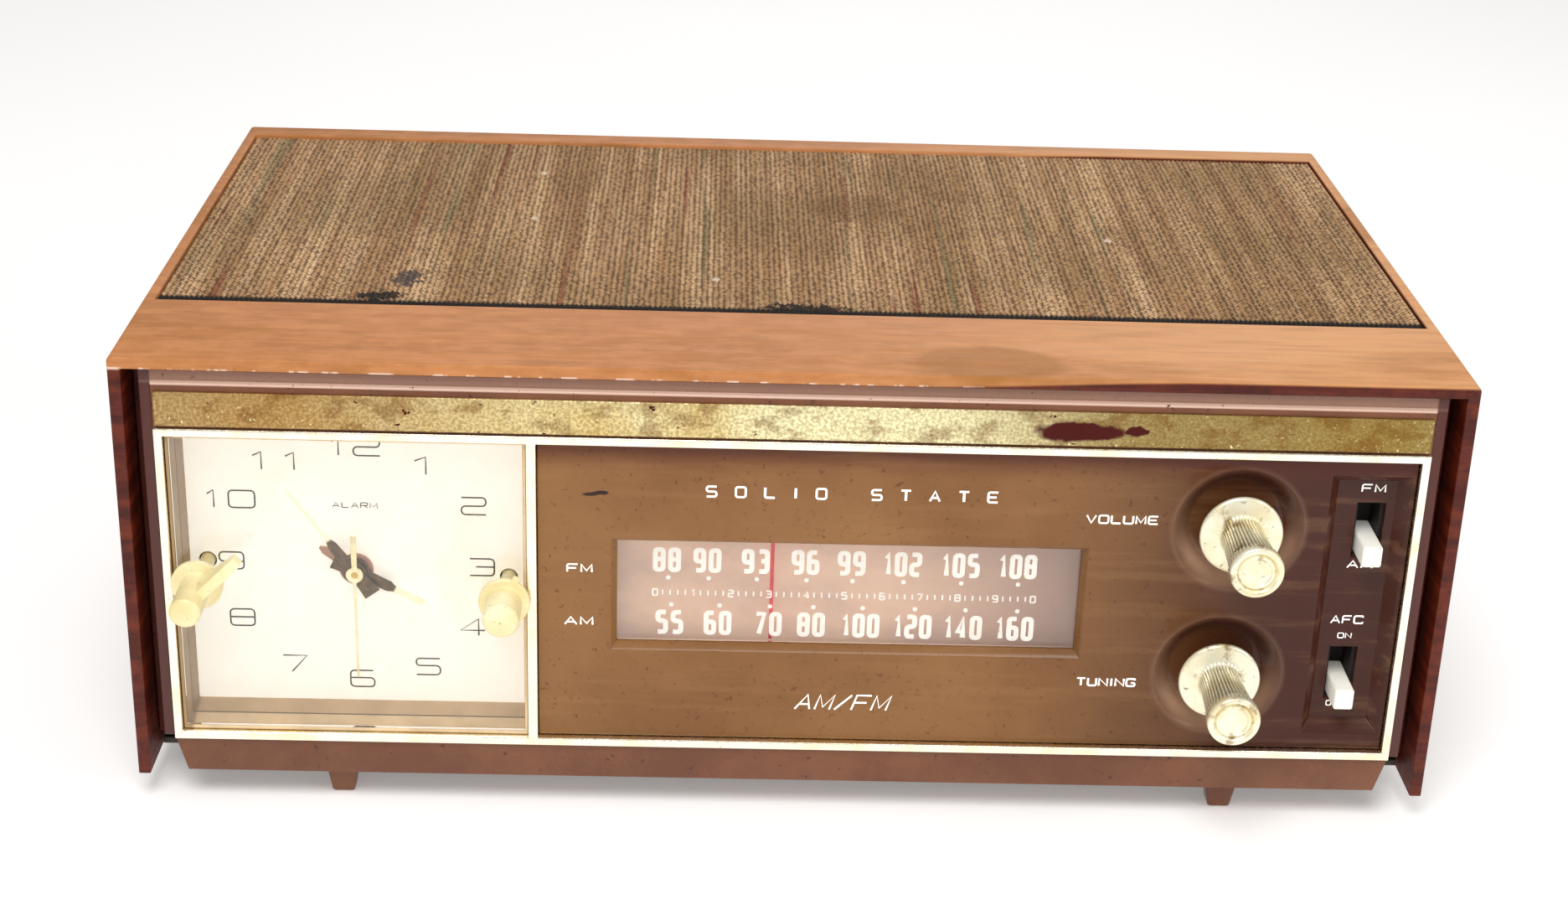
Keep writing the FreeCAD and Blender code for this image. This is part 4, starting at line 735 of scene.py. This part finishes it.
# Painted glow: the red pointer carries a faint emission.
glowing_red_pointer, tree, shader = finish("glowing_red_pointer", Emission_Color=(0.9, 0.02, 0.05, 1),
                                   Emission_Strength=0.15)
streak = mask_of(tree, patches, Scale=400.0, From=0.3, To=0.7)
feed(tree, shader.inputs["Base Color"], over(tree, streak, paint(226, 22, 44), paint(240, 60, 70)))
feed(tree, shader.inputs["Roughness"], ranged(tree, streak, 0.3, 0.45))
relief(tree, shader, streak, 0.02 * MM)
softened("dial_pointer", glowing_red_pointer, 0.12 * MM, segments=2)

# ---- tuning and volume knobs ------------------------------------------------------------
# Plated plastic knobs, pushed on to their shafts: a wide disc, a fluted neck that flares
# towards the front, and a smooth cap with a turned ring in its face.


def axis_of(name):
    """Where the axis of a joint that turns about a front-to-back line meets the front."""
    x, _, z = next(joint for joint in frame["joints"] if joint["name"] == name)["pos_m"]
    return x, z


def lathe(bm, profile, x, z, steps):
    """Turn (radius, y) corners once round an axis that runs front to back."""
    corners = [bm.verts.new((x + radius, y, z)) for radius, y in profile]
    outline = [bm.edges.new(pair) for pair in zip(corners, corners[1:])]
    bmesh.ops.spin(bm, geom=corners + outline, cent=(x, 0, z), axis=(0, 1, 0), dvec=(0, 0, 0),
                   angle=math.tau, steps=steps, use_merge=True, use_duplicate=False)
    bmesh.ops.remove_doubles(bm, verts=bm.verts, dist=1e-6)


def flute(bm, x, z, front, rear, count, depth):
    """Press grooves along the part of a turned piece between two depths, and note how deep."""
    groove = bm.verts.layers.float.new("groove")
    for vert in bm.verts:
        if front < vert.co.y < rear:
            arm = Vector((vert.co.x - x, 0, vert.co.z - z))
            turn = math.atan2(arm.z, arm.x)
            vert[groove] = 0.5 + 0.5 * math.cos(turn * count)
            shrink = 1 - depth / arm.length * vert[groove]
            vert.co.x = x + arm.x * shrink
            vert.co.z = z + arm.z * shrink


knob_gold, tree, shader = finish("knob_plating", Metallic=0.5)
age = mask_of(tree, patches, Scale=130.0, From=0.4, To=0.7)
grime = mask_of(tree, patches, Scale=520.0, From=0.62, To=0.74, Shift=(3, 3, 3))
colour = over(tree, age, paint(255, 250, 224), paint(244, 230, 188))
colour = over(tree, ranged(tree, grime, 0, 0.8), colour, paint(120, 94, 54))
colour = over(tree, mask_of(tree, patches, Scale=210.0, From=0.56, To=0.7, Shift=(6, 0, 9)), colour,
              paint(170, 146, 98))
groove = step_node(tree, "Attribute", {"attribute_name": "groove"}, {}, "Fac")
feed(tree, shader.inputs["Base Color"], over(tree, ranged(tree, groove, 0, 0.85), colour,
                                             paint(84, 58, 30)))
feed(tree, shader.inputs["Roughness"], ranged(tree, age, 0.28, 0.46))
relief(tree, shader, grime, 0.04 * MM)
KNOB_PROFILE = [
    # radius and distance behind the front face (mm)
    (0, 0.9), (3.3, 0.9), (3.6, 0.5), (4.1, 0.5), (4.5, 1.1), (4.9, 0.3), (5.4, 0), (6.0, 0.1),
    (6.3, 0.5), (6.4, 1.1), (6.4, 3.2), (6.2, 3.6), (5.9, 3.9), (5.9, 4.4), (5.7, 7), (5.4, 11),
    (5.2, 15), (5.1, 18.6), (5.4, 19.7), (6.4, 20.1), (9.2, 20.2), (9.7, 20.4), (10, 20.8),
    (10, 21.3), (9.8, 21.6), (3.1, 21.6), (3.1, 8), (0, 8)]
KNOB_STEPS = 160
KNOB_FLUTES, KNOB_FLUTE_DEPTH = 40, 0.4 * MM
for knob in ("volume", "tuning"):
    x, z = axis_of(f"{knob}_turn")
    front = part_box(f"{knob}_knob")[0].y
    bm = bmesh.new()
    lathe(bm, [(radius * MM, front + behind * MM) for radius, behind in KNOB_PROFILE], x, z,
          KNOB_STEPS)
    flute(bm, x, z, front + 1.2 * MM, front + 19 * MM, KNOB_FLUTES, KNOB_FLUTE_DEPTH)
    placed(f"{knob}_knob_fluted", meshed(knob, bm, 50), knob_gold, knob, [f"{knob}_knob"])

# ---- slide switches ---------------------------------------------------------------------
# White moulded levers that slide up and down in the two slots of the panel's recess.

# Painted glow: the white plastic carries a faint emission.
white_plastic = moulded("white_plastic", paint(255, 254, 246), paint(246, 240, 220), rough=0.3,
                        Emission_Color=(1, 0.98, 0.9, 1), Emission_Strength=0.12)
for lever in ("band_switch_lever", "afc_switch_lever"):
    softened(lever, white_plastic, 0.6 * MM, segments=4)

# ---- clock ------------------------------------------------------------------------------
# A square clock behind a clear crystal: a tan tunnel of a mask, an ivory dial with thin
# printed figures, and stamped hands.

mask_finish, tree, shader = finish("mask_plastic")
mask_low, mask_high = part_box("clock_mask")
mask_cloud = mask_of(tree, patches, Scale=90.0, From=0.35, To=0.7)
inward = along(tree, "Y")
seam_y = mask_low.y + 0.52 * (mask_high.y - mask_low.y)
inner = fade(tree, inward, seam_y, seam_y + 0.4 * MM)
from_seam = reckon(tree, "ABSOLUTE", reckon(tree, "SUBTRACT", inward, seam_y))
seam_off = fade(tree, from_seam, 0.12 * MM, 0.3 * MM)
colour = over(tree, inner, paint(244, 212, 168), paint(214, 180, 138))
# Painted shade: the left wall of the tunnel is darkened.
left_wall_shade = fade(tree, along(tree, "X"), mask_low.x + 3.4 * MM, mask_low.x + 2.6 * MM)
colour = over(tree, ranged(tree, left_wall_shade, 0, 0.75), colour, paint(146, 112, 66))
colour = over(tree, seam_off, paint(104, 78, 50), colour)
feed(tree, shader.inputs["Base Color"], over(tree, ranged(tree, mask_cloud, 0, 0.3), colour,
                                             paint(150, 120, 84)))
feed(tree, shader.inputs["Roughness"], ranged(tree, mask_cloud, 0.4, 0.55))
relief(tree, shader, seam_off, 0.2 * MM)
softened("clock_mask", mask_finish, 0.15 * MM, segments=2)

# Painted glow: the ivory dial's front face carries an emission.
ivory, tree, shader = finish("dial_paint", Emission_Strength=0.5)
foxing = mask_of(tree, patches, Scale=26.0, From=0.5, To=0.75)
colour = over(tree, ranged(tree, foxing, 0, 0.6), paint(252, 250, 242), paint(246, 238, 208))
feed(tree, shader.inputs["Base Color"], colour)
glow_in_front(tree, shader, colour, "clock_dial")
feed(tree, shader.inputs["Roughness"], ranged(tree, foxing, 0.5, 0.65))
relief(tree, shader, mask_of(tree, patches, Scale=1500.0, From=0.3, To=0.7), 0.01 * MM)
dress(ivory, "clock_dial")

figure_ink = moulded("figure_ink", paint(44, 34, 16), paint(86, 72, 44), rough=0.6)
DIAL_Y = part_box("clock_dial")[0].y - INK_THICKNESS / 2
HOURS = {"12": (-105.7, 91.4), "1": (-89.8, 86.8), "2": (-77.3, 76.4), "3": (-75.5, 60.0),
         "4": (-78.1, 43.5), "5": (-89.3, 32.2), "6": (-105.7, 28.5), "7": (-122.2, 32.4),
         "8": (-134.6, 45.0), "9": (-136.5, 60.5), "10": (-136.2, 77.0), "11": (-125.0, 87.3)}
bm = bmesh.new()
for words, (x, z) in HOURS.items():
    add_words(bm, words, x * MM, DIAL_Y, z * MM, 5.0 * MM, 6.4 * (1 if len(words) == 1 else 2) * MM,
              0.46 * MM, gap=0.4)
add_words(bm, "ALARM", -106 * MM, DIAL_Y, 76 * MM, 1.6 * MM, 11 * MM, 0.24 * MM)
placed("clock_figures", meshed("clock_figures", bm), figure_ink, "cabinet")

dark_hand, tree, shader = finish("dark_hand", Metallic=0.3, Emission_Strength=0.45)
dusty = mask_of(tree, patches, Scale=600.0, From=0.4, To=0.7)
hub_x, hub_z = axis_of("hour_turn")
away = step_node(tree, "VectorMath", {"operation": "SUBTRACT"},
                 {0: step_node(tree, "TexCoord", {}, {}, "Object"), 1: (hub_x, 0, hub_z)})
flat = step_node(tree, "VectorMath", {"operation": "MULTIPLY"}, {0: away, 1: (1, 0, 1)})
reach = step_node(tree, "VectorMath", {"operation": "LENGTH"}, {0: flat}, "Value")
# Painted glow: the pale tips of the dark hands carry an emission.
PALE_TIP = (10.2 * MM, 10.8 * MM)
tip = fade(tree, reach, *PALE_TIP)
colour = over(tree, dusty, paint(96, 74, 46), paint(134, 108, 70))
colour = over(tree, tip, colour, paint(250, 240, 210))
feed(tree, shader.inputs["Base Color"], colour)
feed(tree, shader.inputs["Emission Color"], over(tree, tip, UNLIT, colour))
feed(tree, shader.inputs["Roughness"], ranged(tree, dusty, 0.35, 0.5))
relief(tree, shader, dusty, 0.01 * MM)
alarm_pink = moulded("alarm_pink", paint(226, 176, 152), paint(204, 150, 126), rough=0.45)
pale_hand = metal("pale_hand", paint(255, 248, 214), paint(246, 228, 170), rough=0.3, spots=0.74)
for hand, coat in (("alarm_hand", alarm_pink), ("hour_hand", dark_hand), ("minute_hand", dark_hand),
                   ("second_hand", pale_hand)):
    softened(hand, coat, 0.1 * MM, segments=2)

cream = moulded("cream_plastic", paint(255, 248, 206), paint(240, 220, 156), rough=0.25, grain=700.0,
                depth=0.08 * MM)
for knob in ("function_knob", "sleep_knob"):
    softened(knob, cream, 0.5 * MM, segments=4)

# ---- base, back cover and what hangs on them --------------------------------------------
# A dark moulded tray under the works and a slotted hardboard cover behind them, held by screws,
# with the two setting knobs of the clock standing out of it.

dark_plastic = moulded("dark_plastic", paint(58, 48, 42), paint(74, 62, 54), rough=0.5)
black_plastic_as_slot_shade = moulded("black_plastic_as_slot_shade", paint(20, 14, 12), paint(32, 24, 20), rough=0.6)
softened("base_pan", dark_plastic, 0.3 * MM)
dress(board, "back_cover")
zinc = metal("zinc_plate", paint(196, 194, 188), paint(160, 156, 146), rough=0.32)
SCREW_STEPS = 24
SCREW_DOME = [
    # radius and height over the cover (mm)
    (0, 1.6), (1.2, 1.5), (2.2, 1.1), (2.8, 0.6), (3, 0.1), (3, 0), (0, 0)]
SCREW_COLUMNS, SCREW_ROWS = (-148, -50, 50, 148), (16, 105)
SLOT_WIDTH, SLOT_DEPTH, SLOT_FLOOR = 0.9 * MM, 0.8 * MM, 1 * MM
screw_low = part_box("cover_screws")[0]
bm = bmesh.new()
for x in SCREW_COLUMNS:
    for z in SCREW_ROWS:
        head = bmesh.new()
        dome = [(radius * MM, screw_low.y + rise * MM) for radius, rise in SCREW_DOME]
        lathe(head, dome, x * MM, z * MM, SCREW_STEPS)
        slot_turn = Matrix.Rotation(math.radians(x + z), 4, "Y")
        for vert in head.verts:
            across = slot_turn @ (vert.co - Vector((x * MM, 0, z * MM)))
            if abs(across.z) < SLOT_WIDTH / 2 and vert.co.y > screw_low.y + SLOT_FLOOR:
                vert.co.y -= SLOT_DEPTH
        head_mesh = bpy.data.meshes.new("screw_head")
        head.to_mesh(head_mesh)
        head.free()
        bm.from_mesh(head_mesh)
        bpy.data.meshes.remove(head_mesh)
placed("cover_screws_domed", meshed("cover_screws", bm, 50), zinc, "cabinet",
       ["cover_screws"])
SETTING_PROFILE = [
    # radius and distance behind the front face (mm)
    (0, 0), (5, 0), (5, 3), (7.6, 3.6), (8, 4.2), (8, 10.6), (7.4, 11.5), (5.6, 11.6), (5.3, 11),
    (0, 11)]
SETTING_STEPS = 120
SETTING_FLUTES, SETTING_FLUTE_DEPTH = 30, 0.5 * MM
for label in ("time_set", "alarm_set"):
    x, z = axis_of(f"{label}_turn")
    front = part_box(f"{label}_knob")[0].y
    bm = bmesh.new()
    lathe(bm, [(radius * MM, front + behind * MM) for radius, behind in SETTING_PROFILE], x, z,
          SETTING_STEPS)
    flute(bm, x, z, front + 4.1 * MM, front + 10.8 * MM, SETTING_FLUTES, SETTING_FLUTE_DEPTH)
    placed(f"{label}_knob_fluted", meshed(label, bm, 50), dark_plastic,
           body_of(f"{label}_knob"), [f"{label}_knob"])

# ---- works ------------------------------------------------------------------------------
# The parts that only show when the radio is open: drive cord, capacitor, movement, speaker
# and circuit board, each in its own bare metal, plastic, paper or paint.

brass = metal("brass", paint(226, 190, 112), paint(176, 136, 70), rough=0.3)
aluminium = metal("aluminium", paint(218, 218, 216), paint(188, 188, 184), rough=0.35)
copper = metal("copper", paint(206, 132, 92), paint(150, 86, 56), rough=0.3)
iron = metal("core_iron", paint(104, 104, 106), paint(78, 74, 72), rough=0.5)
cord_twine = moulded("cord_twine", paint(222, 214, 188), paint(190, 178, 146), rough=0.8)
coil_tape = moulded("coil_tape", paint(214, 190, 116), paint(188, 158, 84), rough=0.6)
cone_paper = moulded("cone_paper", paint(62, 58, 54), paint(78, 72, 66), rough=0.9, grain=900.0,
                     depth=0.2 * MM)
laminate = moulded("laminate", paint(176, 134, 74), paint(150, 108, 56), rough=0.45)
sleeve = moulded("sleeve", paint(66, 92, 142), paint(52, 74, 120), rough=0.3)
ferrite_grey = moulded("ferrite_grey", paint(64, 64, 66), paint(80, 78, 76), rough=0.7)
dress(zinc, "chassis_plate", "volume_shaft", "tuning_shaft", "volume_control", "rotor_pinion",
      "speaker_basket")
dress(brass, "movement_front_plate", "movement_back_plate", "alarm_wheel", "hour_wheel",
      "cannon_pinion", "second_wheel", "minute_wheel", "alarm_set_shaft")
dress(aluminium, "capacitor_frame", "capacitor_rotor", "coil_cans")
dress(copper, "rotor_can")
dress(iron, "motor_core", "speaker_magnet", "power_transformer")
dress(cord_twine, "dial_cord")
dress(coil_tape, "motor_coil")
dress(cone_paper, "speaker_cone")
dress(laminate, "circuit_board")
dress(sleeve, "electrolytics")
dress(ferrite_grey, "ferrite_aerial")
dress(white_plastic, "dial_drum")
# Painted shade: the switch works behind the recess are coloured black so that the slots in front of them read as
# shaded.
dress(black_plastic_as_slot_shade, "selector_switches", "slide_switches")
dress(clear, "dial_lamp")
